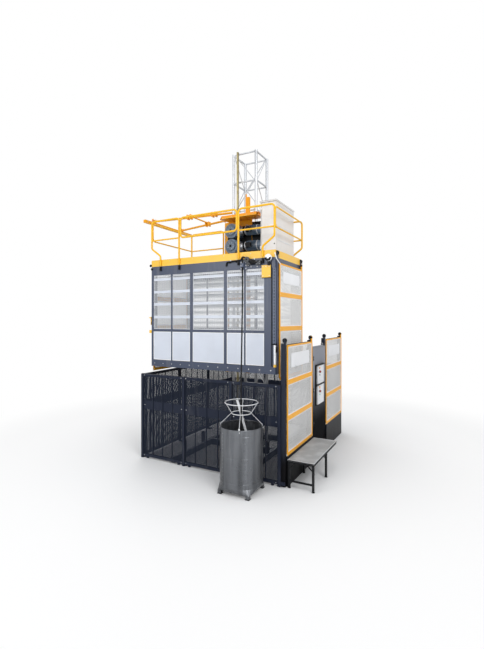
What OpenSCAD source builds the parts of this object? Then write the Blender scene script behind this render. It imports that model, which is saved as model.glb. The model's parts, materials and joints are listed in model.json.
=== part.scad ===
// Rack and pinion freight elevator with a ground enclosure, in millimetres, +Z up.
// The origin is the mast axis on the ground. +X points to the landing gates, -Y to the cage.

/* [Mast] */
// Spacing of the mast tube centres
mast_pitch = 650; // [610:10:680]
// Outer diameter of a mast tube
mast_tube_d = 76; // [66:2:80]
// Wall thickness of a mast tube
mast_tube_wall = 5; // [4:0.5:8]
// Number of mast sections
mast_sections = 5; // [5:1:7]
// Size of the square bars of the mast lattice
lattice_bar = 30; // [24:2:36]
// Thickness of the mast foot plate
foot_plate_t = 20; // [15:1:30]

/* [Rack and pinions] */
// Module of the rack teeth
gear_module = 8; // [8:1:8]
// Teeth of the rack in one mast section
rack_section_teeth = 60; // [60:1:60]
// Teeth of a drive pinion
pinion_teeth = 15; // [15:1:15]
// Face width of the rack and pinions
rack_face_w = 40; // [36:1:44]
// Rack tooth that the lower pinion sits on
lower_pinion_tooth = 200; // [198:1:201]
// Rack teeth between the two pinions
pinion_gap_teeth = 15; // [15:1:15]
// Radius of the backup roller and the guide rollers
roller_r = 45; // [38:1:48]

/* [Cage] */
// Length of the cage between its ends
cage_l = 3200; // [3150:10:3300]
// Distance of the cage front ahead of the mast axis
cage_front = 2040; // [1980:10:2080]
// Distance of the cage back ahead of the mast axis
cage_back = 530; // [525:1:560]
// Height of the cage underside at rest
cage_z = 2160; // [2140:5:2200]
// Height of the floor frame
floor_beam_h = 150; // [120:5:160]
// Height from the cage underside to the roof beam
cage_h = 2350; // [2340:5:2400]
// Height of the roof beam
roof_beam_h = 150; // [120:5:180]
// Width of the main frame members
frame_w = 60; // [50:2:70]
// Depth of the wall frames
frame_d = 40; // [30:2:50]
// Height of the solid lower panels
solid_panel_h = 660; // [600:10:700]
// Height of the dark band under the roof beam
top_band_h = 210; // [180:5:230]
// Height of one light bar over the mesh
light_bar_h = 60; // [40:5:70]
// Pitch of the slots in the mesh sheets
mesh_pitch = 85; // [70:5:110]
// Width of the bar between two mesh slots
mesh_bar = 34; // [20:2:44]
// Thickness of mesh and panel sheets
sheet_t = 4; // [3:0.5:6]

/* [Doors and gates] */
// Radius of the chain line on a sheave
sheave_r = 40; // [36:1:44]
// Thickness of a door leaf
leaf_t = 30; // [24:1:32]
// Width of the yellow leaf frame
leaf_frame_w = 60; // [45:5:80]
// Height of a crossbar of a leaf
leaf_bar_h = 95; // [70:5:130]
// Height of a cage door leaf
cage_door_h = 2360; // [2280:10:2400]
// Height of a landing gate leaf
landing_gate_h = 2160; // [2100:10:2200]
// Height of the landing gates above the ground
landing_gate_z = 600; // [580:5:640]
// Lift of every door and gate
door_lift = 1900; // [1700:10:1900]
// Room under a counterweight while its door is up
weight_clear = 100; // [60:10:140]

/* [Roof] */
// Height of the top guard rail above the roof beam
rail_h = 910; // [850:10:1000]
// Height of the middle guard rail above the roof beam
mid_rail_h = 460; // [400:10:520]
// Diameter of the guard rail tube
rail_d = 42; // [34:1:44]
// Radius of the guard rail bends
rail_bend = 80; // [65:5:100]
// Length of the roof cabinet
cabinet_l = 1000; // [900:10:1040]
// Width of the roof cabinet
cabinet_w = 370; // [300:10:390]
// Height of the roof cabinet
cabinet_h = 1080; // [900:10:1120]
// Width of the roof beam
roof_beam_w = 38; // [30:1:39]
// Side of the square roof hatch
hatch_s = 640; // [560:10:700]
// Radius of a gearbox housing
gearbox_r = 176; // [160:2:182]
// Radius of a drive motor
motor_r = 120; // [100:2:130]

/* [Ground enclosure] */
// Height of the enclosure
enclosure_h = 1980; // [1940:10:2100]
// Half depth of the enclosure
enclosure_y = 2180; // [2170:5:2220]
// Clear gap between the cage end and the enclosure
enclosure_gap = 200; // [180:5:240]
// Width of an enclosure post
post_w = 60; // [50:2:70]
// Height of the lower edge of the plain band
band_z = 1150; // [1100:10:1200]
// Height of the plain band
band_h = 200; // [150:10:240]
// Spacing of the thin mullions
mullion_pitch = 285; // [260:5:320]
// Height of the base frame beams
base_beam_h = 140; // [100:5:160]
// Height of the electrical panel
panel_h = 2610; // [2500:10:2700]

/* [Table, bucket and cable] */
// Height of the step table
table_h = 550; // [520:5:560]
// Depth of the step table
table_d = 535; // [400:5:600]
// Outer radius of the cable bucket
bucket_r = 410; // [400:5:430]
// Height of the rim of the cable bucket
bucket_h = 1240; // [1100:10:1300]
// Diameter of the trailing cable
cable_d = 30; // [24:1:32]
// Turns of one layer of the cable coil
coil_turns = 4; // [3:1:4]

/* [Hidden] */

// Shared clearances
hair = 0.2;
fit = 0.3;
running = 5;

// Mast
tube_r = mast_tube_d / 2;
mast_c = mast_pitch / 2;
tooth_pitch = PI * gear_module;
section_h = rack_section_teeth * tooth_pitch;
mast_z = foot_plate_t;
mast_top = mast_z + mast_sections * section_h;
frame_step = section_h / 2;
foot_half = 400;
foot_hole_r = 11;
foot_hole_c = 368;

// Rack and pinions
pressure_angle = 20;
pinion_r = gear_module * pinion_teeth / 2;
pinion_x = -70;
rack_x = pinion_x - pinion_r;
rack_back_x = rack_x - 45;
rack_front_y = -440;
rack_back_y = rack_front_y + rack_face_w;
backlash = 0.5;
function rack_tooth_z(k) = mast_z + (k + 0.5) * tooth_pitch;
pinion_low_z = rack_tooth_z(lower_pinion_tooth);
pinion_high_z = rack_tooth_z(lower_pinion_tooth + pinion_gap_teeth);
backup_z = (pinion_low_z + pinion_high_z) / 2;
roller_low_z = cage_z + 300;
roller_high_z = pinion_high_z + 200;
roller_y = -mast_c - tube_r - fit - roller_r;

// Cage, with its travel down to the buffers
cage_drop = 1760;
buffer_x = 900;
cage_x1 = cage_l / 2;
cage_x0 = -cage_x1;
far_inset = 35;
core_x0 = cage_x0 + far_inset;
front_y = -cage_front;
back_y = -cage_back;
floor_z = cage_z + floor_beam_h;
wall_z1 = cage_z + cage_h;
roof_z = wall_z1 + roof_beam_h;
panel_z0 = floor_z + 10;
mid_rail_z0 = panel_z0 + solid_panel_h;
mid_rail_z1 = mid_rail_z0 + frame_w;
mesh_z1 = wall_z1 - top_band_h;
thin_mullion = 40;
thick_mullion = 75;
wide_post_w = 170;
edge_strip_w = 79;
wide_post_x0 = cage_x1 - edge_strip_w - wide_post_w;
mullions = [[-1000, thin_mullion], [-446, thick_mullion], [438, thick_mullion], [909, thin_mullion]];
bar_offsets = [100, 390, 680, 980];

// Door sets: the sheave axis is at x = 0, the leaf hangs on its +X side, in front of its posts
post_face = sheave_r - leaf_t / 2 - 2;
post_in = 27;
weight_drop = 90;
post_depth = 60;
leaf_entry = 14;
shoe = [8, 10, 100];
shoe_z = [130, 400];
near_axis_x = cage_x1 + 7;
far_axis_x = -near_axis_x + far_inset;
door_y0 = front_y + frame_d + post_depth;
door_y1 = back_y - frame_d - post_depth;
door_z = cage_z - 120;
door_axis_z = roof_z - 60;
cage_post_top = door_axis_z - 60;
cage_weight_z = cage_post_top - weight_drop;
cage_weight_h = cage_weight_z - door_lift - weight_clear - cage_z;
landing_axis_x = cage_x1 + 229;
landing_post_top = 2790;
landing_axis_z = landing_post_top + 60;
gate_weight_z = landing_post_top - weight_drop;
gate_weight_h = gate_weight_z - door_lift - weight_clear;
gate_1 = [-2080, -580];
gate_2 = [560, 2060];
sheave_outer = sheave_r + 6;
sheave_half_w = 12;
chain_half = 4;
axle_r = 8;
cage_bars = [985, 1680];
landing_bars = [680, 1380];
tip_w = 35;
tip_h = 120;

// Roof
deck_t = 20;
rail_x1 = cage_x1 - 10;
rail_x0 = cage_x0 + 30;
rail_y0 = front_y - rail_d / 2 - fit;
rail_y1 = back_y + 75;
crank_in = 260;
crank_z0 = 85;
crank_z1 = 270;
cabinet_x0 = 1080;
cabinet_x1 = cabinet_x0 + cabinet_w;
cabinet_y0 = -1630;
cabinet_y1 = cabinet_y0 + cabinet_l;
cabinet_z1 = roof_z + 20 + cabinet_h;
cabinet_wall = 15;
hatch_x0 = -1300;
hatch_y0 = -1600;
hatch_lip = 20;

// Drive
gearbox_y0 = -900;
gearbox_y1 = -565;
drive_y = -745;
motor_x1 = 750;
plate_y0 = -560;
plate_y1 = -540;
canopy_z = 5744;
carrier_y0 = back_y + hair;
carrier_y1 = carrier_y0 + 70;
carrier_z0 = cage_z - 240;
carrier_left = [-mast_c - 125, -mast_c - 55];
carrier_right = [mast_c - 185, mast_c - 95];
carrier_z1 = 6330;
carrier_step_z1 = 6400;
carrier_web = 30;
drive_plate_x1 = mast_c + 5;
plate_shaft_r = 40;
plate_spacer = 60;
cross_half = 60;
roller_w = 44;
roller_bore = 10;
roller_cheek_t = 8;
roller_axle_r = 9.7;
axle_half = 37;
backup_arm = [70, 30];
gearbox_cap = 30;
motor_x_gap = 10;
canopy_y0 = -1150;
canopy_x0 = -200;
canopy_x1 = 750;
canopy_t = 6;
canopy_lip = 60;
canopy_rib_h = 34;
canopy_rib_t = 8;

// Enclosure
enc_x0 = cage_x0 - enclosure_gap;
rail_foot_w = 50;
rail_foot_inset = 90;
enc_x1 = landing_axis_x - sheave_r - post_in - hair;
main_posts = [-597, 613];
side_posts = [-700, 700];

// Electrical panel
pan_x0 = landing_axis_x - 110;
pan_x1 = landing_axis_x + post_face;
pan_y0 = gate_1[1] + post_depth + fit;
pan_y1 = gate_2[0] - post_depth - fit;
pan_z0 = 640;
pan_door_t = 22;
box_y = [-250, 210];
box_upper_z = [1740, 2165];
box_lower_z = [1255, 1700];
box_depth = 40;
lamp_inset = 130;
lamp_drop = 55;
stop_drop = 145;
signal_drop = 225;

// Table
table_x0 = landing_axis_x + 66;
table_y0 = -2140;
table_y1 = -520;
table_t = 20;
table_leg = 40;

// Bucket and cable
bucket_x = 1155;
bucket_y = -2640;
bucket_foot_h = 60;
bucket_base_half = 330;
bucket_foot = 70;
bucket_z = 170;
bucket_wall = 6;
coil_r1 = 350;
coil_step = cable_d + 6;
coil_z = bucket_z + bucket_wall + cable_d / 2 + 0.3;
guide_low_r = 187;
guide_low_z = 1476;
guide_top_r = 317;
guide_top_z = 1680;
guide_rod_d = 16;
bracket_x = 890;
bracket_z = 4380;
bracket_y = front_y - 62;
cable_route = [
  [1500, -2739, 227], [1486, -2776, 235], [1455, -2813, 249], [1410, -2841, 272],
  [1357, -2850, 305], [1305, -2838, 347], [1261, -2808, 403], [1226, -2768, 472],
  [1200, -2727, 558], [1181, -2691, 662], [1168, -2664, 787], [1160, -2648, 938],
  [1155, -2641, 1130], [1150, -2638, 1380], [1140, -2622, 1640], [1120, -2588, 1940],
  [1080, -2500, 2400], [1030, -2390, 2900], [970, -2260, 3420], [920, -2160, 3900],
  [895, -2112, 4170]];

// Wall tie
tie_z = mast_z + 8 * frame_step + lattice_bar;
tie_wall_x = -2850;
tie_tube_d = 60;
tie_beam_h = 80;
tie_beam_y = [-900, 1300];
tie_hole_y = [-800, 1200];

// Box between two opposite corners
module block(p, q) {
  translate(p) cube([q.x - p.x, q.y - p.y, q.z - p.z]);
}

// Round bar between two points
module rod(p, q, d) {
  v = q - p;
  len = norm(v);
  translate(p)
    rotate([0, acos(v.z / len), atan2(v.y, v.x)])
      cylinder(h = len, d = d, $fn = 32);
}

// Round bar along an axis direction, from a start point
module bar_x(p, len, r) { translate(p) rotate([0, 90, 0]) cylinder(h = len, r = r, $fn = 48); }
module bar_y(p, len, r) { translate(p) rotate([-90, 0, 0]) cylinder(h = len, r = r, $fn = 48); }

function unit(v) = v / norm(v);
function turn_angle(a, b, c) = acos(unit(b - a) * unit(c - b));
function corner_cut(a, b, c, r) = r * tan(turn_angle(a, b, c) / 2);

// Elbow of a bent tube at point b
module elbow(a, b, c, r, d) {
  u = unit(b - a);
  w = unit(c - b);
  n = unit(w - u * (u * w));
  o = b - u * corner_cut(a, b, c, r) + n * r;
  k = cross(-n, u);
  multmatrix([
    [-n.x, u.x, k.x, o.x],
    [-n.y, u.y, k.y, o.y],
    [-n.z, u.z, k.z, o.z],
    [0, 0, 0, 1]])
    rotate_extrude(angle = turn_angle(a, b, c), $fn = 48)
      translate([r, 0]) circle(d = d, $fn = 24);
}

// Bent tube through points, as straight bars and elbows with hairline joints
module bent_tube(pts, d, r) {
  n = len(pts);
  for (i = [0:n - 2]) {
    u = unit(pts[i + 1] - pts[i]);
    s = i == 0 ? 0 : corner_cut(pts[i - 1], pts[i], pts[i + 1], r) + hair;
    e = i == n - 2 ? 0 : corner_cut(pts[i], pts[i + 1], pts[i + 2], r) + hair;
    rod(pts[i] + u * s, pts[i + 1] - u * e, d);
  }
  for (i = [1:n - 2])
    elbow(pts[i - 1], pts[i], pts[i + 1], r, d);
}

// Sheet with rows of upright slots, standing in the XZ plane from the origin
module slotted_sheet(w, h, t, rows) {
  margin = mesh_bar;
  count = max(1, floor((w - margin) / mesh_pitch));
  step = (w - margin) / count;
  row_h = (h - margin) / rows;
  rotate([90, 0, 0])
    linear_extrude(height = t)
      difference() {
        square([w, h]);
        for (i = [0:count - 1], j = [0:rows - 1])
          translate([margin + i * step, margin + j * row_h])
            square([step - margin, row_h - margin]);
      }
}

// Sheave with a chain groove, its axis along Y
module sheave() {
  rotate([90, 0, 0])
    rotate_extrude($fn = 64)
      polygon([
        [axle_r, -sheave_half_w], [sheave_outer, -sheave_half_w], [sheave_outer, -chain_half - 2],
        [sheave_r - chain_half - 0.3, -chain_half - 1], [sheave_r - chain_half - 0.3, chain_half + 1],
        [sheave_outer, chain_half + 2], [sheave_outer, sheave_half_w], [axle_r, sheave_half_w]]);
}

// Door post with a rebate for the guide shoes of the leaf and a cell for the counterweight
module door_post(h) {
  linear_extrude(height = h)
    difference() {
      translate([-sheave_r - post_in, 0]) square([sheave_r + post_in + post_face, post_depth]);
      translate([post_face - shoe.x, -1]) square([shoe.x + 1, shoe.y + 3]);
      translate([-sheave_r - 22, 6]) square([45, post_depth - 12]);
    }
}

// Two cheeks and an axle that carry a sheave above a post
module sheave_cheeks(rise) {
  for (s = [-1, 1])
    translate([-20, s > 0 ? sheave_half_w + 2 : -sheave_half_w - 6, 0])
      cube([40, 4, rise + 20]);
  translate([0, -sheave_half_w - 6, rise])
    rotate([-90, 0, 0]) cylinder(h = 2 * sheave_half_w + 12, r = axle_r - fit, $fn = 32);
}

// The pair of posts of a door set, for an opening between y0 and y1
module post_pair(y0, y1, z0, z1, axis_z) {
  translate([0, y0, z0]) mirror([0, 1, 0]) door_post(z1 - z0);
  translate([0, y1, z0]) door_post(z1 - z0);
  for (y = [y0 - post_depth / 2, y1 + post_depth / 2])
    translate([0, y, z1]) sheave_cheeks(axis_z - z1);
}

module sheave_pair(y0, y1, axis_z) {
  for (y = [y0 - post_depth / 2, y1 + post_depth / 2])
    translate([0, y, axis_z]) sheave();
}

module weight_pair(y0, y1, top_z, h) {
  for (y = [y0 - post_depth / 2, y1 + post_depth / 2])
    translate([-sheave_r - 18, y - 20, top_z - h]) cube([37, 40, h]);
}

// Chains from the leaf lugs over the sheaves to the counterweights
module chain_pair(y0, y1, lug_z, axis_z, weight_z) {
  for (y = [y0 - post_depth / 2, y1 + post_depth / 2])
    translate([0, y, axis_z]) {
      translate([sheave_r - chain_half, -chain_half, lug_z - axis_z])
        cube([2 * chain_half, 2 * chain_half, axis_z - lug_z]);
      translate([-sheave_r - chain_half, -chain_half, weight_z - axis_z])
        cube([2 * chain_half, 2 * chain_half, axis_z - weight_z]);
      rotate([90, 0, 0])
        rotate_extrude(angle = 180, $fn = 64)
          translate([sheave_r - chain_half, -chain_half]) square(2 * chain_half);
    }
}

// Door leaf: yellow frame with crossbars, mesh sheets between them, chain lugs and guide shoes
module door_leaf(y0, y1, z0, h, bars) {
  a = y0 - leaf_entry;
  b = y1 + leaf_entry;
  x0 = sheave_r - leaf_t / 2;
  levels = concat([0], bars, [h - leaf_frame_w]);
  for (y = [a, b - leaf_frame_w])
    translate([x0, y, z0]) cube([leaf_t, leaf_frame_w, h]);
  for (i = [0:len(levels) - 1]) {
    bar_h = i == 0 || i == len(levels) - 1 ? leaf_frame_w : leaf_bar_h;
    translate([x0, a + leaf_frame_w + hair, z0 + levels[i]])
      cube([leaf_t, b - a - 2 * leaf_frame_w - 2 * hair, bar_h]);
    if (i < len(levels) - 1)
      translate([sheave_r + sheet_t / 2, a + leaf_frame_w + hair, z0 + levels[i] + bar_h + hair])
        rotate([0, 0, 90])
          slotted_sheet(b - a - 2 * leaf_frame_w - 2 * hair,
                        levels[i + 1] - levels[i] - bar_h - 2 * hair, sheet_t, 3);
  }
  translate([x0, b - leaf_frame_w + 10, z0 + h - 1]) cube([leaf_t, tip_w, tip_h + 1]);
  for (y = [a - 20, b])
    translate([sheave_r - 7, y, z0]) cube([14, 20, 40]);
  for (y = [y0 - shoe.y, y1], z = shoe_z)
    translate([x0 - shoe.x, y, z0 + z]) cube(shoe);
}

// One straight wall of the enclosure along +X from the origin, its outer face at y = 0
module wall_posts(posts) {
  for (x = posts)
    translate([x, 0, 0]) cube([post_w, post_w, enclosure_h]);
  for (i = [0:len(posts) - 2], z = [40, enclosure_h - 60]) {
    translate([posts[i] + post_w + hair, 10, z])
      cube([posts[i + 1] - posts[i] - post_w - 2 * hair, 40, 60]);
  }
  for (i = [0:len(posts) - 2]) {
    a = posts[i] + post_w;
    b = posts[i + 1];
    for (x = [a + rail_foot_inset, b - rail_foot_inset - rail_foot_w])
      translate([x, 10, 0]) cube([rail_foot_w, 40, 40 - hair]);
    count = round((b - a) / mullion_pitch) - 1;
    if (count > 0)
      for (k = [1:count])
        translate([a + k * (b - a) / (count + 1) - 10, 10, 100 + hair])
          cube([20, 16, enclosure_h - 160 - 2 * hair]);
  }
}

module wall_sheets(posts) {
  for (i = [0:len(posts) - 2]) {
    a = posts[i] + post_w + hair;
    w = posts[i + 1] - a - hair;
    translate([a, 26.2 + sheet_t, 100 + hair])
      slotted_sheet(w, band_z - 100 - 2 * hair, sheet_t, 3);
    translate([a, 26.2 + sheet_t, band_z + band_h + hair])
      slotted_sheet(w, enclosure_h - 60 - band_z - band_h - 2 * hair, sheet_t, 2);
  }
}

module wall_bands(posts) {
  for (i = [0:len(posts) - 2]) {
    a = posts[i] + post_w + hair;
    translate([a, 26.2, band_z]) cube([posts[i + 1] - a - hair, 6, band_h]);
  }
}

front_posts = [0, main_posts[0] - enc_x0, main_posts[1] - enc_x0, enc_x1 - enc_x0 - post_w];
back_posts = [for (i = [3:-1:0]) enc_x1 - enc_x0 - post_w - front_posts[i]];
inner_left_posts = [for (y = side_posts) enclosure_y - post_w + y];

module at_front_wall() { translate([enc_x0, -enclosure_y, 0]) children(); }
module at_back_wall() { translate([enc_x1, enclosure_y, 0]) rotate([0, 0, 180]) children(); }
module at_left_wall() {
  translate([enc_x0, enclosure_y - post_w - hair, 0]) rotate([0, 0, -90]) children();
}

module enclosure_frame() {
  color("#2d3442") {
    at_front_wall() wall_posts(front_posts);
    at_back_wall() wall_posts(back_posts);
    at_left_wall() left_wall_posts();
    for (y = [-enclosure_y, enclosure_y - post_w])
      block([enc_x1 + hair, y, 40], [pan_x1, y + post_w - 20, 100]);
  }
}

// The left wall shares its end posts with the front and back walls
module left_wall_posts() {
  span = 2 * enclosure_y - 2 * post_w - 2 * hair;
  stops = concat([-post_w], inner_left_posts, [span]);
  for (x = inner_left_posts)
    translate([x, 0, 0]) cube([post_w, post_w, enclosure_h]);
  for (i = [0:2], z = [40, enclosure_h - 60])
    translate([stops[i] + post_w + hair, 10, z])
      cube([stops[i + 1] - stops[i] - post_w - 2 * hair, 40, 60]);
  for (i = [0:2]) {
    a = stops[i] + post_w;
    count = round((stops[i + 1] - a) / mullion_pitch) - 1;
    for (k = [1:count])
      translate([a + k * (stops[i + 1] - a) / (count + 1) - 10, 10, 100 + hair])
        cube([20, 16, enclosure_h - 160 - 2 * hair]);
  }
}

left_stops = concat([-post_w], inner_left_posts, [2 * enclosure_y - 2 * post_w - 2 * hair]);

module enclosure_mesh() {
  color("#3a4252") {
    at_front_wall() wall_sheets(front_posts);
    at_back_wall() wall_sheets(back_posts);
    at_left_wall() wall_sheets(left_stops);
  }
}

module enclosure_band() {
  color("#2d3442") {
    at_front_wall() wall_bands(front_posts);
    at_back_wall() wall_bands(back_posts);
    at_left_wall() wall_bands(left_stops);
  }
}

cross_beam_y = foot_half + 115;
wall_rail_y = 50;

module base_frame() {
  color("#4a5160") {
    difference() {
      block([-foot_half, -foot_half, 0], [foot_half, foot_half, foot_plate_t]);
      for (x = [-1, 1], y = [-1, 1])
        translate([x * foot_hole_c, y * foot_hole_c, -1])
          cylinder(h = foot_plate_t + 2, r = foot_hole_r, $fn = 32);
    }
    for (y = [-1, 1])
      translate([-buffer_x + 50, y * cross_beam_y - 50, 0]) cube([2 * buffer_x - 100, 100, base_beam_h]);
    for (x = [-1, 1])
      translate([x * (buffer_x + hair) - 50, -enclosure_y + wall_rail_y + hair, 0])
        cube([100, 2 * (enclosure_y - wall_rail_y - hair), base_beam_h]);
  }
}

buffer_top = cage_z - cage_drop - 2;
buffer_ys = [(front_y + back_y) / 2 - 400, (front_y + back_y) / 2 + 400];

module rubber_buffers() {
  color("#24262a")
    for (x = [-buffer_x, buffer_x], y = buffer_ys)
      translate([x, y, base_beam_h])
        cylinder(h = buffer_top - base_beam_h, r = 45, $fn = 48);
}

module mast_tubes() {
  color("#c9cdd3")
    for (x = [-mast_c, mast_c], y = [-mast_c, mast_c], k = [0:mast_sections - 1])
      translate([x, y, mast_z + k * section_h + (k == 0 ? 0 : hair / 2)])
        difference() {
          cylinder(h = section_h - hair, r = tube_r, $fn = 48);
          translate([0, 0, -1])
            cylinder(h = section_h + 2, r = tube_r - mast_tube_wall, $fn = 48);
        }
}

// One face of the mast lattice: level bars, flat diagonals, standing in the XZ plane at y = -mast_c
module mast_face(flip) {
  half = mast_c - tube_r - fit;
  levels = 2 * mast_sections;
  bar_t = lattice_bar;
  for (k = [0:levels]) {
    z = k == 0 ? mast_z + 10 : (k == levels ? mast_top - bar_t - 10 : mast_z + k * frame_step - bar_t / 2);
    translate([-half, -bar_t / 2, z]) cube([2 * half, bar_t, bar_t]);
  }
  for (k = [0:levels - 1]) {
    z0 = mast_z + (k == 0 ? 10 + bar_t : k * frame_step + bar_t / 2) + hair;
    z1 = (k == levels - 1 ? mast_top - bar_t - 10 : mast_z + (k + 1) * frame_step - bar_t / 2) - hair;
    s = (k + flip) % 2 == 0 ? 1 : -1;
    e = half - 18;
    translate([0, 6, 0])
      rotate([90, 0, 0])
        linear_extrude(height = 12)
          polygon([[-s * e - 14, z0], [-s * e + 14, z0], [s * e + 14, z1], [s * e - 14, z1]]);
  }
}

module mast_frames() {
  color("#b9bec6") {
    for (side = [0:3])
      rotate([0, 0, 90 * side]) translate([0, -mast_c, 0]) mast_face(side);
    // Rack brackets, one at each lattice level of the cage side
    for (k = [0:2 * mast_sections]) {
      z = k == 0 ? mast_z + 10 : (k == 2 * mast_sections ? mast_top - lattice_bar - 10
                                  : mast_z + k * frame_step - lattice_bar / 2);
      block([rack_back_x + 5, rack_back_y, z], [rack_x - 12, -mast_c - lattice_bar / 2, z + lattice_bar]);
    }
  }
}

// Rack tooth outline, one tooth, as [x, z] points
function rack_tooth(z) = let (
    half = PI * gear_module / 4 - backlash / 2,
    t = tan(pressure_angle),
    add = gear_module - 1,
    ded = 1.25 * gear_module)
  [[rack_x - ded, z - half - ded * t], [rack_x + add, z - half + add * t],
   [rack_x + add, z + half - add * t], [rack_x - ded, z + half + ded * t]];

module rack() {
  color("#b7a56a")
    for (s = [0:mast_sections - 1]) {
      z0 = mast_z + s * section_h + hair / 2;
      z1 = mast_z + (s + 1) * section_h - hair / 2;
      first = s * rack_section_teeth;
      teeth = [for (k = [0:rack_section_teeth - 1]) each rack_tooth(rack_tooth_z(first + k))];
      translate([0, rack_back_y, 0])
        rotate([90, 0, 0])
          linear_extrude(height = rack_face_w)
            polygon(concat([[rack_back_x, z1], [rack_back_x, z0], [rack_x - 1.25 * gear_module, z0]], teeth,
                           [[rack_x - 1.25 * gear_module, z1]]));
    }
}

module gate_posts() {
  color("#343c4c")
    translate([landing_axis_x, 0, 0]) {
      for (g = [gate_1, gate_2]) {
        post_pair(g[0], g[1], 0, landing_post_top, landing_axis_z);
        block([post_face - 2 * running, g[0] + hair, 0],
              [sheave_r + leaf_t / 2, g[1] - hair, landing_gate_z - fit]);
      }
    }
}

module landing_gate_chains() {
  color("#3c3f44")
    translate([landing_axis_x, 0, 0])
      for (g = [gate_1, gate_2])
        chain_pair(g[0], g[1], landing_gate_z + 40 + fit, landing_axis_z, gate_weight_z + fit);
}

module landing_gate(g) {
  color("#f5a716")
    translate([landing_axis_x, 0, 0]) door_leaf(g[0], g[1], landing_gate_z, landing_gate_h, landing_bars);
}

module landing_weights(g) {
  color("#3c3f44")
    translate([landing_axis_x, 0, 0]) weight_pair(g[0], g[1], gate_weight_z, gate_weight_h);
}

module landing_sheaves(g) {
  color("#202226")
    translate([landing_axis_x, 0, 0]) sheave_pair(g[0], g[1], landing_axis_z);
}

module landing_gate_1() { landing_gate(gate_1); }
module landing_gate_1_weights() { landing_weights(gate_1); }
module landing_gate_1_sheaves() { landing_sheaves(gate_1); }
module landing_gate_2() { landing_gate(gate_2); }
module landing_gate_2_weights() { landing_weights(gate_2); }
module landing_gate_2_sheaves() { landing_sheaves(gate_2); }

// Places children for the near door set, or mirrored and inset for the far one
module at_near() { translate([near_axis_x, 0, 0]) children(); }
module at_far() { translate([far_axis_x, 0, 0]) mirror([1, 0, 0]) children(); }

module cage_door_posts() {
  color("#3c4458") {
    at_near() post_pair(door_y0, door_y1, cage_z, cage_post_top, door_axis_z);
    at_far() post_pair(door_y0, door_y1, cage_z, cage_post_top, door_axis_z);
  }
}

module cage_door_chains() {
  color("#3c3f44") {
    at_near() chain_pair(door_y0, door_y1, door_z + 40 + fit, door_axis_z, cage_weight_z + fit);
    at_far() chain_pair(door_y0, door_y1, door_z + 40 + fit, door_axis_z, cage_weight_z + fit);
  }
}

module near_door() { color("#f5a716") at_near() door_leaf(door_y0, door_y1, door_z, cage_door_h, cage_bars); }
module far_door() { color("#f5a716") at_far() door_leaf(door_y0, door_y1, door_z, cage_door_h, cage_bars); }
module cage_weights() { color("#3c3f44") weight_pair(door_y0, door_y1, cage_weight_z, cage_weight_h); }
module near_door_weights() { at_near() cage_weights(); }
module far_door_weights() { at_far() cage_weights(); }
module near_door_sheaves() { color("#202226") at_near() sheave_pair(door_y0, door_y1, door_axis_z); }
module far_door_sheaves() { color("#202226") at_far() sheave_pair(door_y0, door_y1, door_axis_z); }

// Upright members of one long wall, for a wall whose outer face is at y = y0
module wall_uprights(y0) {
  y1 = y0 + frame_d;
  block([cage_x0, y0, cage_z], [cage_x0 + frame_w, y1, wall_z1]);
  block([wide_post_x0, y0, floor_z + hair], [wide_post_x0 + wide_post_w, y1, mesh_z1 - hair]);
  for (m = mullions) {
    block([m[0] - m[1] / 2, y0, floor_z + hair], [m[0] + m[1] / 2, y1, mid_rail_z0 - hair]);
    block([m[0] - m[1] / 2, y0, mid_rail_z1 + hair], [m[0] + m[1] / 2, y1, mesh_z1 - hair]);
  }
  block([cage_x0 + frame_w + hair, y0, mid_rail_z0], [wide_post_x0 - hair, y1, mid_rail_z1]);
  block([cage_x0 + frame_w + hair, y0, mesh_z1], [cage_x1, y1, wall_z1]);
  block([cage_x0 + frame_w + hair, y0, cage_z], [cage_x1, y1, floor_z]);
}

module cage_frame() {
  color("#3c4458") {
    wall_uprights(front_y);
    wall_uprights(back_y - frame_d);
    // Cross members under the floor, two of them over the buffers
    for (x = [-buffer_x, buffer_x])
      block([x - frame_w / 2, front_y + frame_d + hair, cage_z],
            [x + frame_w / 2, back_y - frame_d - hair, floor_z - 10]);
    for (x = [core_x0, cage_x1 - frame_w])
      block([x, door_y0 + hair, cage_z], [x + frame_w, door_y1 - hair, floor_z - 10]);
    // Headers over the doorways
    for (x = [core_x0, cage_x1 - frame_w])
      block([x, door_y0 + hair, mesh_z1 + 30], [x + frame_w, door_y1 - hair, wall_z1]);
  }
}

module cage_floor() {
  color("#6b7078")
    block([core_x0 + frame_w + hair, front_y + frame_d + hair, floor_z - 10 + hair],
          [cage_x1 - frame_w - hair, back_y - frame_d - hair, floor_z]);
}

// Clear widths between the uprights of a long wall, as [x0, x1]
bays = [
  [cage_x0 + frame_w, mullions[0][0] - mullions[0][1] / 2],
  [mullions[0][0] + mullions[0][1] / 2, mullions[1][0] - mullions[1][1] / 2],
  [mullions[1][0] + mullions[1][1] / 2, mullions[2][0] - mullions[2][1] / 2],
  [mullions[2][0] + mullions[2][1] / 2, mullions[3][0] - mullions[3][1] / 2],
  [mullions[3][0] + mullions[3][1] / 2, wide_post_x0]];

module long_wall_mesh(y) {
  for (b = bays)
    translate([b[0] + hair, y, mid_rail_z1 + hair])
      slotted_sheet(b[1] - b[0] - 2 * hair, mesh_z1 - mid_rail_z1 - 2 * hair, sheet_t, 5);
}

module cage_mesh() {
  color("#d5d9e0") {
    long_wall_mesh(front_y + 20);
    long_wall_mesh(back_y - 16);
    for (y = [front_y + 20, back_y - 16])
      translate([cage_x1 - edge_strip_w + hair, y, floor_z + hair])
        slotted_sheet(edge_strip_w - 2 * hair, mesh_z1 - floor_z - 2 * hair, sheet_t, 12);
  }
}

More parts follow.
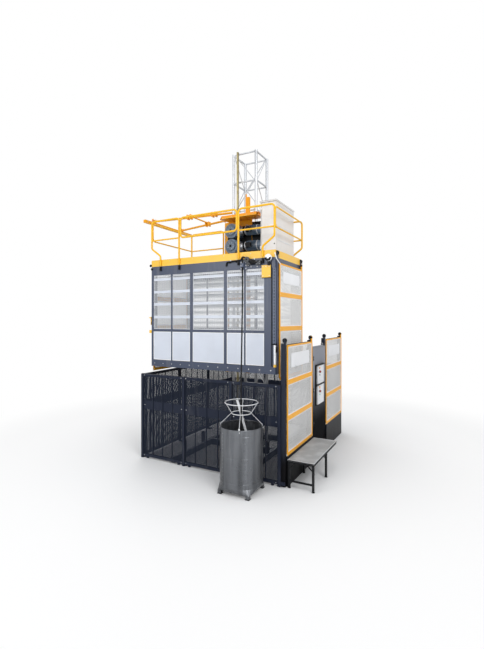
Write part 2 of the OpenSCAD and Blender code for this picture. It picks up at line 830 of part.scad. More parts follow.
module cage_panels() {
  color("#cdd3de")
    for (b = bays) {
      block([b[0] + hair, front_y + 5, panel_z0], [b[1] - hair, front_y + 5 + sheet_t, mid_rail_z0 - hair]);
      block([b[0] + hair, back_y - 5 - sheet_t, panel_z0], [b[1] - hair, back_y - 5, mid_rail_z0 - hair]);
      for (z = bar_offsets) {
        block([b[0] + hair, front_y + 10, mesh_z1 - z - light_bar_h / 2],
              [b[1] - hair, front_y + 16 - hair, mesh_z1 - z + light_bar_h / 2]);
        block([b[0] + hair, back_y - 16 + hair, mesh_z1 - z - light_bar_h / 2],
              [b[1] - hair, back_y - 10, mesh_z1 - z + light_bar_h / 2]);
      }
    }
}

module roof_beam() {
  color("#ffc433") {
    block([cage_x0, front_y, wall_z1], [cage_x1, front_y + roof_beam_w, roof_z]);
    block([cage_x0, back_y - roof_beam_w, wall_z1], [cage_x1, back_y, roof_z]);
    for (x = [core_x0 - 20, cage_x1 - frame_w])
      block([x, door_y0 + hair, wall_z1], [x + frame_w, door_y1 - hair, roof_z]);
  }
}

deck_x0 = core_x0 - 20 + frame_w + hair;
deck_x1 = cage_x1 - frame_w - hair;
deck_y0 = front_y + roof_beam_w + hair;
deck_y1 = back_y - roof_beam_w - hair;
hatch_x1 = hatch_x0 + hatch_s;
hatch_y1 = hatch_y0 + hatch_s;

module roof_deck() {
  color("#9aa0a8") {
    block([deck_x0, deck_y0, roof_z - deck_t], [hatch_x0 + hatch_lip, deck_y1, roof_z]);
    block([hatch_x1 - hatch_lip, deck_y0, roof_z - deck_t], [deck_x1, deck_y1, roof_z]);
    block([hatch_x0 + hatch_lip + hair, deck_y0, roof_z - deck_t],
          [hatch_x1 - hatch_lip - hair, hatch_y0 + hatch_lip, roof_z]);
    block([hatch_x0 + hatch_lip + hair, hatch_y1 - hatch_lip, roof_z - deck_t],
          [hatch_x1 - hatch_lip - hair, deck_y1, roof_z]);
    // Hinge knuckles of the hatch
    for (y = [hatch_y0 + 80, hatch_y1 - 140])
      difference() {
        union() {
          bar_y([hatch_x0 - 14, y, roof_z + 12], 60, 10);
          block([hatch_x0 - 24, y, roof_z], [hatch_x0 - 4, y + 60, roof_z + 12]);
        }
        bar_y([hatch_x0 - 14, y - 1, roof_z + 12], 62, 5);
      }
  }
}

module roof_hatch() {
  color("#ffc433") {
    block([hatch_x0, hatch_y0, roof_z + 2], [hatch_x1, hatch_y1, roof_z + 6]);
    for (y = [hatch_y0 + 10, hatch_y1 - 30])
      block([hatch_x0 + 10, y, roof_z + 6], [hatch_x1 - 10, y + 20, roof_z + 24]);
    bar_y([hatch_x0 - 14, hatch_y0 + 60, roof_z + 12], hatch_s - 120, 4.7);
    block([hatch_x0 - 17, hatch_y0 + 200, roof_z + 6], [hatch_x0 + 20, hatch_y1 - 200, roof_z + 10]);
    // Lifting handle
    for (y = [-60, 60])
      translate([hatch_x1 - 70, (hatch_y0 + hatch_y1) / 2 + y, roof_z + 6]) cylinder(h = 36, r = 6, $fn = 24);
    bar_y([hatch_x1 - 70, (hatch_y0 + hatch_y1) / 2 - 66, roof_z + 46], 132, 6);
  }
}

rail_top_z = roof_z + rail_h;
rail_mid_z = roof_z + mid_rail_h;
rail_foot_z = wall_z1 + 20;
back_foot_t = 6;
loop_x = 770;

// Cranked corner post: straight above, bent inward to its foot
function crank_post(x, y, z, dx) = [
  [x + dx, y, z], [x + dx, y, roof_z + crank_z0], [x, y, roof_z + crank_z1], [x, y, rail_top_z]];

module guard_rails() {
  color("#f7c325") {
    r = rail_bend;
    d = rail_d;
    end_d = d - 8;
    end_y0 = rail_y0 + (d + end_d) / 2 + fit;
    end_y1 = rail_y1 - d / 2 - fit;
    end_z = rail_top_z - 40;
    back_z = roof_z + back_foot_t + fit;
    left_leg = -560;
    right_leg = 600;
    mid_x = loop_x - d - fit;
    // Front left section, from the corner to the loop
    bent_tube(concat(crank_post(rail_x0, rail_y0, rail_foot_z, crank_in),
                     [[-loop_x, rail_y0, rail_top_z], [-loop_x, rail_y0, rail_foot_z]]), d, r);
    rod([rail_x0 + d / 2 + fit, rail_y0, rail_mid_z], [-loop_x - d / 2 - fit, rail_y0, rail_mid_z], end_d);
    // Front middle section, a closed loop between two posts
    bent_tube([[-hair, rail_y0, rail_mid_z], [-mid_x, rail_y0, rail_mid_z], [-mid_x, rail_y0, rail_top_z],
               [mid_x, rail_y0, rail_top_z], [mid_x, rail_y0, rail_mid_z], [0, rail_y0, rail_mid_z]], d, r);
    // Front right section
    bent_tube(concat([[loop_x, rail_y0, rail_foot_z], [loop_x, rail_y0, rail_top_z]],
                     [for (i = [3:-1:0]) crank_post(rail_x1, rail_y0, rail_foot_z, -crank_in)[i]]), d, r);
    rod([loop_x + d / 2 + fit, rail_y0, rail_mid_z], [rail_x1 - d / 2 - fit, rail_y0, rail_mid_z], end_d);
    // End sections, bent loops between the corner posts
    for (x = [rail_x0, rail_x1])
      bent_tube([[x, end_y1, end_z], [x, end_y0, end_z], [x, end_y0, rail_mid_z], [x, end_y1, rail_mid_z]],
                end_d, r);
    // Back left section
    bent_tube([[rail_x0, rail_y1, back_z], [rail_x0, rail_y1, rail_top_z], [left_leg, rail_y1, rail_top_z],
               [left_leg, rail_y1, back_z]], d, r);
    rod([rail_x0 + d / 2 + fit, rail_y1, rail_mid_z], [left_leg - d / 2 - fit, rail_y1, rail_mid_z], end_d);
    // Back right section
    bent_tube(concat([[right_leg, rail_y1, back_z], [right_leg, rail_y1, rail_top_z]],
                     [for (i = [3:-1:0]) crank_post(rail_x1, rail_y1, back_z, -crank_in)[i]]), d, r);
    rod([right_leg + d / 2 + fit, rail_y1, rail_mid_z], [rail_x1 - d / 2 - fit, rail_y1, rail_mid_z], end_d);
    // Foot plates of the back rails, on the back of the roof beam
    for (x = [rail_x0, left_leg, right_leg, rail_x1 - crank_in])
      block([x - 30, back_y - roof_beam_w, roof_z], [x + 30, rail_y1 + d / 2 + 4, roof_z + back_foot_t]);
  }
}

module roof_cabinet() {
  w = cabinet_wall;
  z0 = roof_z + 20;
  color("#e9e7e4") {
    block([cabinet_x0, cabinet_y0, roof_z], [cabinet_x1, cabinet_y1, z0]);
    block([cabinet_x0, cabinet_y0, z0 + hair], [cabinet_x0 + w, cabinet_y1, cabinet_z1]);
    block([cabinet_x1 - w, cabinet_y0, z0 + hair], [cabinet_x1, cabinet_y1, cabinet_z1]);
    block([cabinet_x0 + w + hair, cabinet_y1 - w, z0 + hair],
          [cabinet_x1 - w - hair, cabinet_y1, cabinet_z1]);
    block([cabinet_x0 - 5, cabinet_y0 - 50, cabinet_z1 + hair],
          [cabinet_x1 + 15, cabinet_y1 + 5, cabinet_z1 + 24]);
    // Hinge pins of the door
    for (z = [z0 + 100, cabinet_z1 - 160])
      translate([cabinet_x0 + 12, cabinet_y0 - 34, z]) {
        cylinder(h = 60, r = 5.7, $fn = 24);
        translate([0, 0, -16]) cylinder(h = 16 - hair, r = 12, $fn = 24);
        translate([-6, 0, -16]) cube([12, 34, 16 - hair]);
      }
  }
}

module cabinet_door() {
  z0 = roof_z + 24;
  color("#efedea")
    difference() {
      union() {
        block([cabinet_x0 + 30, cabinet_y0 - 22, z0], [cabinet_x1 - 4, cabinet_y0 - 2, cabinet_z1 - 4]);
        for (z = [roof_z + 120.2, cabinet_z1 - 159.8]) {
          translate([cabinet_x0 + 12, cabinet_y0 - 34, z]) cylinder(h = 50, r = 12, $fn = 32);
          block([cabinet_x0 + 12, cabinet_y0 - 40, z], [cabinet_x0 + 50, cabinet_y0 - 22, z + 50]);
        }
        translate([cabinet_x1 - 40, cabinet_y0 - 22, (z0 + cabinet_z1) / 2])
          rotate([90, 0, 0]) cylinder(h = 24, r = 16, $fn = 32);
      }
      for (z = [roof_z + 120, cabinet_z1 - 160])
        translate([cabinet_x0 + 12, cabinet_y0 - 34, z - 1]) cylinder(h = 60, r = 6, $fn = 32);
    }
}

module drive_carrier() {
  web_y = carrier_y0 + carrier_web;
  left = carrier_left;
  right = carrier_right;
  pin_x = rack_back_x - roller_r - fit;
  color("#f2a900") {
    // Back plate of the drives, with holes for the pinion shafts
    difference() {
      block([left[0] - 5, plate_y0, roof_z + hair], [drive_plate_x1, plate_y1, canopy_z - fit]);
      for (z = [pinion_low_z, pinion_high_z])
        bar_y([pinion_x, plate_y0 - 1, z], plate_y1 - plate_y0 + 2, plate_shaft_r);
    }
    // Long carrier bars behind the cage
    block([right[0], carrier_y0, carrier_z0], [right[1], carrier_y1, carrier_z1]);
    block([right[0], carrier_y0 - carrier_web / 2, canopy_z + 50],
          [right[0] + carrier_web, carrier_y0 - hair, carrier_step_z1]);
    block([left[0], carrier_y0, carrier_z0], [left[1], carrier_y1, canopy_z - cross_half]);
    for (z = [roller_low_z, (roller_low_z + pinion_low_z) / 2, roller_high_z])
      block([left[1] + hair, carrier_y0, z - cross_half], [right[0] - hair, web_y, z + cross_half]);
    for (z = [roller_low_z, roller_high_z])
      block([right[1] + hair, carrier_y0, z - cross_half], [mast_c + axle_half, web_y, z + cross_half]);
    // Spacers between the plate and the bars
    for (x = [left[0] + 5, right[0] + 10], z = [roof_z + plate_spacer, canopy_z - plate_spacer - 100])
      block([x, plate_y1 + hair, z], [x + plate_spacer, carrier_y0 - hair, z + plate_spacer]);
    // Roller brackets and axles on both sides of each roller
    for (z = [roller_low_z, roller_high_z], x = [-mast_c, mast_c]) {
      for (s = [-1, 1])
        block([x + s * (axle_half - roller_cheek_t / 2) - roller_cheek_t / 2, web_y - 1, z - 20],
              [x + s * (axle_half - roller_cheek_t / 2) + roller_cheek_t / 2, roller_y + 20, z + 20]);
      bar_x([x - axle_half, roller_y, z], 2 * axle_half, roller_axle_r);
    }
    // Arm and axle of the backup roller
    block([left[1] + hair, carrier_y0, backup_z - 25], [rack_back_x - backup_arm[1], web_y, backup_z + 25]);
    block([rack_back_x - backup_arm[0], web_y, backup_z - 25],
          [rack_back_x - backup_arm[1], rack_front_y - 6, backup_z + 25]);
    bar_y([pin_x, rack_front_y - 7, backup_z], rack_face_w + 5, roller_axle_r);
  }
}

module roller(w) {
  difference() {
    cylinder(h = w, r = roller_r, $fn = 64);
    translate([0, 0, -1]) cylinder(h = w + 2, r = roller_bore, $fn = 32);
  }
}

module backup_roller() {
  color("#55585e")
    translate([rack_back_x - roller_r - fit, rack_back_y - 2, backup_z])
      rotate([90, 0, 0]) roller(rack_face_w - 4);
}

module roller_pair(z) {
  color("#55585e")
    for (x = [-mast_c, mast_c])
      translate([x - roller_w / 2, roller_y, z]) rotate([0, 90, 0]) roller(roller_w);
}

module guide_rollers_upper() { roller_pair(roller_high_z); }
module guide_rollers_lower() { roller_pair(roller_low_z); }

// Involute pinion outline
base_r = pinion_r * cos(pressure_angle);
tip_r = pinion_r + gear_module - 0.5;
root_r = pinion_r - 1.25 * gear_module;
function inv(a) = tan(a) * 180 / PI - a;
tooth_half = 90 / pinion_teeth - backlash * 90 / (PI * pinion_r);
function flank(r) = tooth_half + inv(pressure_angle) - inv(acos(min(1, base_r / r)));
flank_steps = 5;
flank_radii = [for (i = [0:flank_steps]) base_r + 0.2 + (tip_r - base_r - 0.2) * i / flank_steps];
function polar(r, a) = [r * cos(a), r * sin(a)];
function tooth_points(a) = concat(
  [polar(root_r, a - flank(base_r) - 1)],
  [for (r = flank_radii) polar(r, a - flank(r))],
  [for (i = [flank_steps:-1:0]) polar(flank_radii[i], a + flank(flank_radii[i]))],
  [polar(root_r, a + flank(base_r) + 1)]);

module pinion(z) {
  translate([pinion_x, rack_back_y, z]) {
    rotate([90, 0, 0])
      linear_extrude(height = rack_face_w)
        polygon([for (k = [0:pinion_teeth - 1]) each tooth_points(180 + (k + 0.5) * 360 / pinion_teeth)]);
    translate([0, -rack_face_w, 0]) rotate([90, 0, 0]) cylinder(h = 180, r = 25, $fn = 48);
    rotate([-90, 0, 0]) cylinder(h = 14, r = 20, $fn = 48);
  }
}

module drive_pinion_upper() { color("#8d8468") pinion(pinion_high_z); }
module drive_pinion_lower() { color("#8d8468") pinion(pinion_low_z); }

module gearbox(z) {
  translate([pinion_x, 0, z])
    difference() {
      union() {
        bar_y([0, gearbox_y0, 0], gearbox_y1 - gearbox_y0, gearbox_r);
        bar_y([0, gearbox_y0 - gearbox_cap, 0], gearbox_cap + 1, gearbox_r * 0.62);
        block([0, drive_y - motor_r - 10, -motor_r - 10],
              [gearbox_r + 10, drive_y + motor_r + 10, motor_r + 10]);
        block([-gearbox_r * 0.7, gearbox_y1 - 1, -gearbox_r * 0.7],
              [gearbox_r * 0.7, plate_y0 - 0, gearbox_r * 0.7]);
        for (a = [0:45:315])
          bar_y([(gearbox_r - 22) * cos(a), gearbox_y0 - 12, (gearbox_r - 22) * sin(a)], 13, 11);
      }
      bar_y([0, plate_y0 - 80, 0], 90, 25.4);
    }
}

module gearboxes() {
  color("#6d7988") for (z = [pinion_low_z, pinion_high_z]) gearbox(z);
}

module motor(z) {
  x0 = pinion_x + gearbox_r + motor_x_gap;
  translate([x0, drive_y, z]) {
    rotate([0, 90, 0])
      rotate_extrude($fn = 64)
        polygon([[0, 0], [motor_r, 0], [motor_r, 30], [motor_r - 25, 40], [motor_r - 25, 90], [motor_r, 100],
                 [motor_r, 420], [motor_r - 6, 430], [motor_r - 6, motor_x1 - x0 - 10],
                 [motor_r - 16, motor_x1 - x0], [0, motor_x1 - x0]]);
    // Terminal box
    block([150, -motor_r - 45, -60], [290, -motor_r + 30, 60]);
  }
}

module motors() { color("#7b8797") for (z = [pinion_low_z, pinion_high_z]) motor(z); }

module drive_canopy() {
  edge = canopy_x1 - 10;
  color("#f09600") {
    translate([0, 0, canopy_z])
      linear_extrude(height = canopy_t)
        polygon([[canopy_x0, canopy_y0], [edge, canopy_y0], [canopy_x1, canopy_y0 + canopy_lip],
                 [canopy_x1, plate_y1], [canopy_x0 - 130, plate_y1], [canopy_x0 - 200, gearbox_y0]]);
    block([canopy_x0, canopy_y0, canopy_z - canopy_lip], [edge, canopy_y0 + 4, canopy_z]);
    block([canopy_x1 - 4, canopy_y0 + canopy_lip, canopy_z - canopy_lip], [canopy_x1, plate_y1, canopy_z]);
    for (x = [-250, 60, 250])
      block([x, canopy_y0 + 150, canopy_z + canopy_t],
            [x + canopy_rib_t, plate_y1, canopy_z + canopy_t + canopy_rib_h]);
  }
}

clamp_plate = [80, 90];
clamp_plate_t = 10;
clamp_bolts = [[-55, -65], [-55, 0], [-55, 65], [55, -65], [55, 0], [55, 65]];
clamp_half_h = 35;
clamp_r = 26;
bolt_hole_r = 5;
bolt_head_h = 8;

module cable_bracket() {
  arm_half = 30;
  color("#b8bcc2") {
    difference() {
      block([bracket_x - clamp_plate[0], front_y - clamp_plate_t, bracket_z - clamp_plate[1]],
            [bracket_x + clamp_plate[0], front_y, bracket_z + clamp_plate[1]]);
      for (p = clamp_bolts)
        bar_y([bracket_x + p[0], front_y - clamp_plate_t - 1, bracket_z + p[1]], clamp_plate_t + 2,
              bolt_hole_r);
    }
    for (p = clamp_bolts)
      bar_y([bracket_x + p[0], front_y - clamp_plate_t - bolt_head_h, bracket_z + p[1]], bolt_head_h - hair,
            2 * bolt_hole_r);
    // Arm and clamp of the trailing cable
    block([bracket_x - arm_half, bracket_y + clamp_r - 4, bracket_z - arm_half],
          [bracket_x + arm_half, front_y - clamp_plate_t, bracket_z + arm_half]);
    translate([bracket_x, bracket_y, bracket_z - clamp_half_h])
      difference() {
        cylinder(h = 2 * clamp_half_h, r = clamp_r, $fn = 48);
        translate([0, 0, -1]) cylinder(h = 2 * clamp_half_h + 2, r = cable_d / 2 + 1, $fn = 48);
      }
  }
}

hose_z = wall_z1 - 60;
hose_d = 32;
hose_y = front_y - hose_d / 2 - 2 - fit;
hose_peak = 110;

module power_hoses() {
  foot_z = bracket_z - 34;
  color("#1b1c1f") {
    bent_tube([[480, hose_y, hose_z - 60], [480, hose_y, hose_z + 20], [835, hose_y, hose_z + 50],
               [bracket_x, hose_y - 45, hose_z + hose_peak], [1010, hose_y, hose_z + 50],
               [1250, hose_y, hose_z - 30]], hose_d, 40);
    translate([bracket_x, bracket_y, foot_z])
      cylinder(h = hose_z + hose_peak - hose_d / 2 - foot_z - 4, r = cable_d / 2 + 0.5, $fn = 32);
    for (x = [560, 700, 1120])
      block([x, front_y - 2, hose_z], [x + 30, front_y, hose_z + 60]);
  }
}

lamp_x = 1470;
lamp_z = wall_z1 - 10;

module work_lamp() {
  color("#e6e8ec") {
    block([lamp_x - 20, front_y - 8, lamp_z - 90], [lamp_x + 20, front_y, lamp_z]);
    translate([lamp_x, front_y - 8, lamp_z])
      rotate([90, 0, 0])
        rotate_extrude($fn = 64)
          polygon([[0, 0], [50, 0], [70, 20], [70, 50], [62, 60], [0, 66]]);
  }
}

cover = [[cage_x1 - 300, wall_z1 - 400], [cage_x1 - 100, wall_z1 - 150]];
cover_t = 6;
cover_bolts = [[30, 30], [170, 30], [30, 220], [100, 220], [170, 220]];
latch_bar = [80, 35, 70];

module cage_fittings() {
  color("#ffc433") {
    // Cover plate with its bolts
    difference() {
      block([cover[0][0], front_y - cover_t, cover[0][1]], [cover[1][0], front_y - hair, cover[1][1]]);
      for (p = cover_bolts)
        bar_y([cover[0][0] + p[0], front_y - cover_t - 1, cover[0][1] + p[1]], cover_t + 2, bolt_hole_r);
    }
    for (p = cover_bolts)
      bar_y([cover[0][0] + p[0], front_y - 2 * cover_t, cover[0][1] + p[1]], cover_t - hair, 9);
    // Latch bar beside the far corner
    block([cage_x0 - latch_bar[0], front_y + 10, mid_rail_z0 - 40],
          [cage_x0 - hair, front_y + 10 + latch_bar[1], mid_rail_z0 - 40 + latch_bar[2]]);
  }
}

handle_r = 22;
handle_stem = 34;
handle_z = mid_rail_z1 + 190;

module door_handle() {
  arm_half = 95;
  color("#ffc433") {
    bar_x([cage_x0 - handle_stem, front_y + 30, handle_z], handle_stem - hair, handle_r);
    block([cage_x0 - handle_stem - 8, front_y + 16, handle_z - arm_half],
          [cage_x0 - handle_stem, front_y + 44, handle_z + arm_half]);
    bar_x([cage_x0 - 100, front_y + 30, handle_z + arm_half - 20], 96 - handle_stem, handle_r / 2);
  }
}

panel_pin_r = 5.7;
panel_pin_h = 100;
panel_knuckle_h = 90;
panel_pin_inset = 12;
panel_pin_z = [pan_z0 + 200, panel_h - 300];
panel_wall = 15;

module electrical_panel() {
  w = panel_wall;
  pin = panel_pin_inset;
  color("#59606e") {
    block([pan_x0, pan_y0, 0], [pan_x1, pan_y1, pan_z0]);
    block([pan_x0, pan_y0, pan_z0 + hair], [pan_x0 + w, pan_y1, panel_h - w - hair]);
    for (y = [pan_y0, pan_y1 - w])
      block([pan_x0 + w + hair, y, pan_z0 + hair], [pan_x1, y + w, panel_h - w - hair]);
    block([pan_x0, pan_y0, panel_h - w], [pan_x1, pan_y1, panel_h]);
    // Hinge pins of the door
    for (z = panel_pin_z)
      translate([pan_x1 + pin, pan_y1 - pin, z]) {
        cylinder(h = panel_pin_h, r = panel_pin_r, $fn = 24);
        translate([0, 0, -20]) cylinder(h = 20 - hair, r = 11, $fn = 24);
        translate([-pin, -6, -20]) cube([pin, 12, 20 - hair]);
      }
  }
}

module panel_door() {
  pin = panel_pin_inset;
  color("#6a717e")
    difference() {
      union() {
        block([pan_x1 + 1, pan_y0 + 4, pan_z0 + 10], [pan_x1 + pan_door_t, pan_y1 - 30, panel_h - 10]);
        for (z = panel_pin_z) {
          translate([pan_x1 + pin, pan_y1 - pin, z + hair]) cylinder(h = panel_knuckle_h, r = 10.5, $fn = 32);
          block([pan_x1 + pin / 2, pan_y1 - 40, z + hair],
                [pan_x1 + 18, pan_y1 - pin, z + panel_knuckle_h + hair]);
        }
      }
      for (z = panel_pin_z)
        translate([pan_x1 + pin, pan_y1 - pin, z - 1]) cylinder(h = panel_pin_h, r = 6, $fn = 32);
    }
}

box_x0 = pan_x1 + pan_door_t;
box_x1 = box_x0 + box_depth;

module control_boxes() {
  color("#f2f3f4")
    for (z = [box_upper_z, box_lower_z])
      difference() {
        union() {
          block([box_x0, box_y[0], z[0]], [box_x1, box_y[1], z[1]]);
          bar_x([box_x1 - 1, box_y[0] + lamp_inset, z[1] - lamp_drop], 21, 20);
          bar_x([box_x1 - 1, box_y[0] + lamp_inset, z[1] - signal_drop], 13, 14);
        }
        bar_x([box_x1 - 30, box_y[0] + lamp_inset, z[1] - stop_drop], 31, 15.3);
      }
}

module stop_button(z) {
  bar_x([box_x1 - 20, box_y[0] + lamp_inset, z - stop_drop], 36, 15);
  bar_x([box_x1 + 10, box_y[0] + lamp_inset, z - stop_drop], 22, 26);
}

module stop_button_upper() { color("#8e1d22") stop_button(box_upper_z[1]); }
module stop_button_lower() { color("#8e1d22") stop_button(box_lower_z[1]); }

module table_top() {
  color("#96999b")
    block([table_x0, table_y0, table_h - table_t], [table_x0 + table_d, table_y1, table_h]);
}

module table_frame() {
  l = table_leg;
  x1 = table_x0 + table_d - 10;
  color("#2a2c30") {
    for (x = [table_x0 + 5, x1 - l], y = [table_y0 + 20, table_y0 + 860])
      block([x, y, 0], [x + l, y + l, table_h - table_t]);
    for (y = [table_y0 + 20, table_y0 + 860])
      block([table_x0 + 5 + l + hair, y, table_h - table_t - l], [x1 - l - hair, y + l, table_h - table_t]);
    for (x = [table_x0 + 5, x1 - l]) {
      block([x, table_y0 + 20 + l + hair, table_h - table_t - l],
            [x + l, table_y0 + 860 - hair, table_h - table_t]);
      block([x, table_y0 + 860 + l + hair, table_h - table_t - l], [x + l, table_y1 - 10, table_h - table_t]);
    }
    block([table_x0 + 5 + l + hair, table_y0 + 25, 120], [x1 - l - hair, table_y0 + 55, 150]);
    // Ledge on the gate post that carries the far end of the table
    block([pan_x1, table_y1 - 50, table_h - table_t - 60],
          [table_x0 + 4.8, table_y1 - 10, table_h - table_t]);
  }
}

module at_bucket() { translate([bucket_x, bucket_y, 0]) children(); }

module bucket_skirt(half, r, over) {
  hull() {
    block([-half, -half, bucket_foot_h - over], [half, half, bucket_foot_h + 1]);
    translate([0, 0, bucket_z - 1 - hair]) cylinder(h = 1 + 2 * over, r = r, $fn = 48);
  }
}

module cable_bucket() {
  color("#8d9398")
    at_bucket() {
      difference() {
        translate([0, 0, bucket_z]) cylinder(h = bucket_h - bucket_z, r = bucket_r, $fn = 96);
        translate([0, 0, bucket_z + bucket_wall])
          cylinder(h = bucket_h, r = bucket_r - bucket_wall, $fn = 96);
      }
      // Square base whose sides run out into the round wall
      difference() {
        bucket_skirt(bucket_base_half, bucket_r, 0);
        bucket_skirt(bucket_base_half - bucket_wall, bucket_r - bucket_wall - 1, 1);
      }
      for (a = [0:90:270])
        rotate([0, 0, a])
          block([bucket_base_half - bucket_foot, bucket_base_half - bucket_foot, 0],
                [bucket_base_half - 1, bucket_base_half - 1, bucket_foot_h + 12]);
      // Gland block on the floor of the bucket, where the buried end of the cable goes out
      block([coil_r1 - cable_d / 2, cable_d + hair, bucket_z + bucket_wall - 0.5],
            [coil_r1 + cable_d / 2, cable_d + 40, coil_z + cable_d / 2 + 0.8]);
    }
}

module bucket_guide() {
  r = guide_rod_d / 2;
  color("#e4e6ea")
    at_bucket() {
      for (ring = [[guide_low_r, guide_low_z], [guide_top_r, guide_top_z]], k = [0:7])
        rotate([0, 0, 45 * k + 0.02])
          translate([0, 0, ring[1]])
            rotate_extrude(angle = 44.96, $fn = 48) translate([ring[0], 0]) circle(r = r, $fn = 24);
      for (a = [22.5, 112.5, 202.5, 292.5])
        rotate([0, 0, a]) {
          block([bucket_r - 14, -15, bucket_h - 60], [bucket_r - bucket_wall - 0.6, 15, bucket_h + 40]);
          rod([bucket_r - 14, 0, bucket_h + 30], [guide_low_r + r * 0.75, 0, guide_low_z - r * 0.75], 10);
          rod([guide_low_r + r * 0.6, 0, guide_low_z + r * 0.9],
              [guide_top_r - r * 0.6, 0, guide_top_z - r * 0.9], 10);
        }
    }
}

// Piled coil: the first layer spirals in, the second spirals out above it
coil_rings = 24;
coil_sides = 6;
coil_steps = coil_turns * coil_rings;
function coil_radius(s) = coil_r1 - coil_step * s / coil_rings;
function coil_point(i) =
  let (down = i <= coil_steps,
       s = down ? i : 2 * coil_steps - i,
       a = -360 * i / coil_rings,
       climb = min(1, max(0, (i - coil_steps + coil_rings / 4) / (coil_rings / 2))))
  [coil_radius(s) * cos(a), coil_radius(s) * sin(a), coil_z + climb * (cable_d + 2)];
coil_loops = [for (i = [0:2 * coil_steps]) coil_point(i)];
coil_end_z = coil_z + cable_d + 2;
coil_path = concat([[coil_r1, cable_d, coil_z]], coil_loops, [[coil_r1, -cable_d, coil_end_z]]);
echo(coil_gap = min([for (i = [0:6:2 * coil_steps], j = [i + coil_rings - 3:1:2 * coil_steps])
                     norm(coil_loops[i] - coil_loops[j]) - cable_d]),
     coil_length_m = 2 * coil_steps * 2 * PI * (coil_r1 - coil_step * coil_turns / 2) / coil_rings / 1000);

// Tube swept along a list of points, with flat ends
function path_dir(p, i) = unit(p[min(i + 1, len(p) - 1)] - p[max(i - 1, 0)]);
function side_dir(t) = unit(cross(t, abs(t.z) > 0.95 ? [1, 0, 0] : [0, 0, 1]));
function side_dirs(p, i, last) = let (t = path_dir(p, i), s = last - t * (last * t)) unit(s);
function frames(p, i, last) = i >= len(p) ? [] :
  let (s = side_dirs(p, i, last)) concat([s], frames(p, i + 1, s));
module swept_tube(p, d, sides) {
  n = len(p);
  sides_list = frames(p, 0, side_dir(path_dir(p, 0)));
  pts = [for (i = [0:n - 1], k = [0:sides - 1])
    let (t = path_dir(p, i), s = sides_list[i], u = cross(t, s), a = 360 * k / sides)
    p[i] + (s * cos(a) + u * sin(a)) * d / 2];
  faces = concat(
    [[for (k = [0:sides - 1]) k]],
    [for (i = [0:n - 2], k = [0:sides - 1]) let (k2 = (k + 1) % sides)
      each [[i * sides + k, (i + 1) * sides + k, (i + 1) * sides + k2],
            [i * sides + k, (i + 1) * sides + k2, i * sides + k2]]],
    [[for (k = [sides - 1:-1:0]) (n - 1) * sides + k]]);
  polyhedron(pts, faces);
}

module trailing_cable_coil() {
  color("#17181a") at_bucket() swept_tube(coil_path, cable_d, coil_sides);
}

function norm_sum(p) = let (v = [for (i = [1:len(p) - 1]) norm(p[i] - p[i - 1])]) v * [for (x = v) 1];

// Smooth route through the chosen points, a ring about every two diameters
function spline(p, i, t) =
  let (n = len(p), a = p[max(i - 1, 0)], b = p[i], c = p[i + 1], d = p[min(i + 2, n - 1)])
  0.5 * (2 * b + (c - a) * t + (2 * a - 5 * b + 4 * c - d) * t * t + (3 * b - a - 3 * c + d) * t * t * t);
cable_out = [bucket_x + coil_r1, bucket_y - cable_d, coil_end_z];
cable_in = [bracket_x, bracket_y, bracket_z - 35];
route_mm = concat([cable_out, cable_out - [0, cable_d, 0]], cable_route, [cable_in - [0, 0, 50], cable_in]);
cable_path = concat([cable_out], [for (i = [1:len(route_mm) - 3], t = [0:2]) spline(route_mm, i, t / 3)],
                    [cable_in - [0, 0, 50], cable_in]);
echo(free_cable_m = norm_sum(cable_path) / 1000);

module trailing_cable() {
  color("#17181a") swept_tube(cable_path, cable_d, 8);
}

module wall_tie() {
  d = tie_tube_d;
  w = tie_wall_x;
  mast_x = -mast_c - lattice_bar / 2;
  beam_z1 = tie_z - d / 2 - fit;
  ends = [[-235, -500], [235, 800]];
  brace_x = -1700;
  reach = mast_x - 8 - (w - 40);
  brace_t = (mast_x - 8 - brace_x) / reach;
  plate_z = tie_z + d / 2 - hair;
  color("#f2a900") {
    difference() {
      block([w - 50, tie_beam_y[0], beam_z1 - tie_beam_h], [w + 30, tie_beam_y[1], beam_z1]);
      for (y = tie_hole_y, z = [-20, 20])
        bar_x([w - 51, y, beam_z1 - tie_beam_h / 2 + z], 82, 9);
    }
    for (e = ends) {
      // Tube from the mast bracket over the wall beam
      rod([mast_x - 8, e[0], tie_z], [w - 40, e[1], tie_z], d);
      block([mast_x - 10, e[0] - 45, tie_z - 45], [mast_x - fit, e[0] + 45, tie_z + 45]);
      // Clamp plate over the tube, on four bolts in the wall beam
      block([w - 45, e[1] - 75, plate_z], [w + 25, e[1] + 75, plate_z + 12]);
      for (x = [-28, 8], y = [-55, 55])
        translate([w + x, e[1] + y, beam_z1 + hair]) cylinder(h = plate_z + 40 - beam_z1, r = 9, $fn = 24);
    }
    // Brace across both tubes
    rod([brace_x, ends[0][0] + (ends[0][1] - ends[0][0]) * brace_t, tie_z + d / 2 + 22 + fit],
        [brace_x, ends[1][0] + (ends[1][1] - ends[1][0]) * brace_t, tie_z + d / 2 + 22 + fit], 44);
  }
}

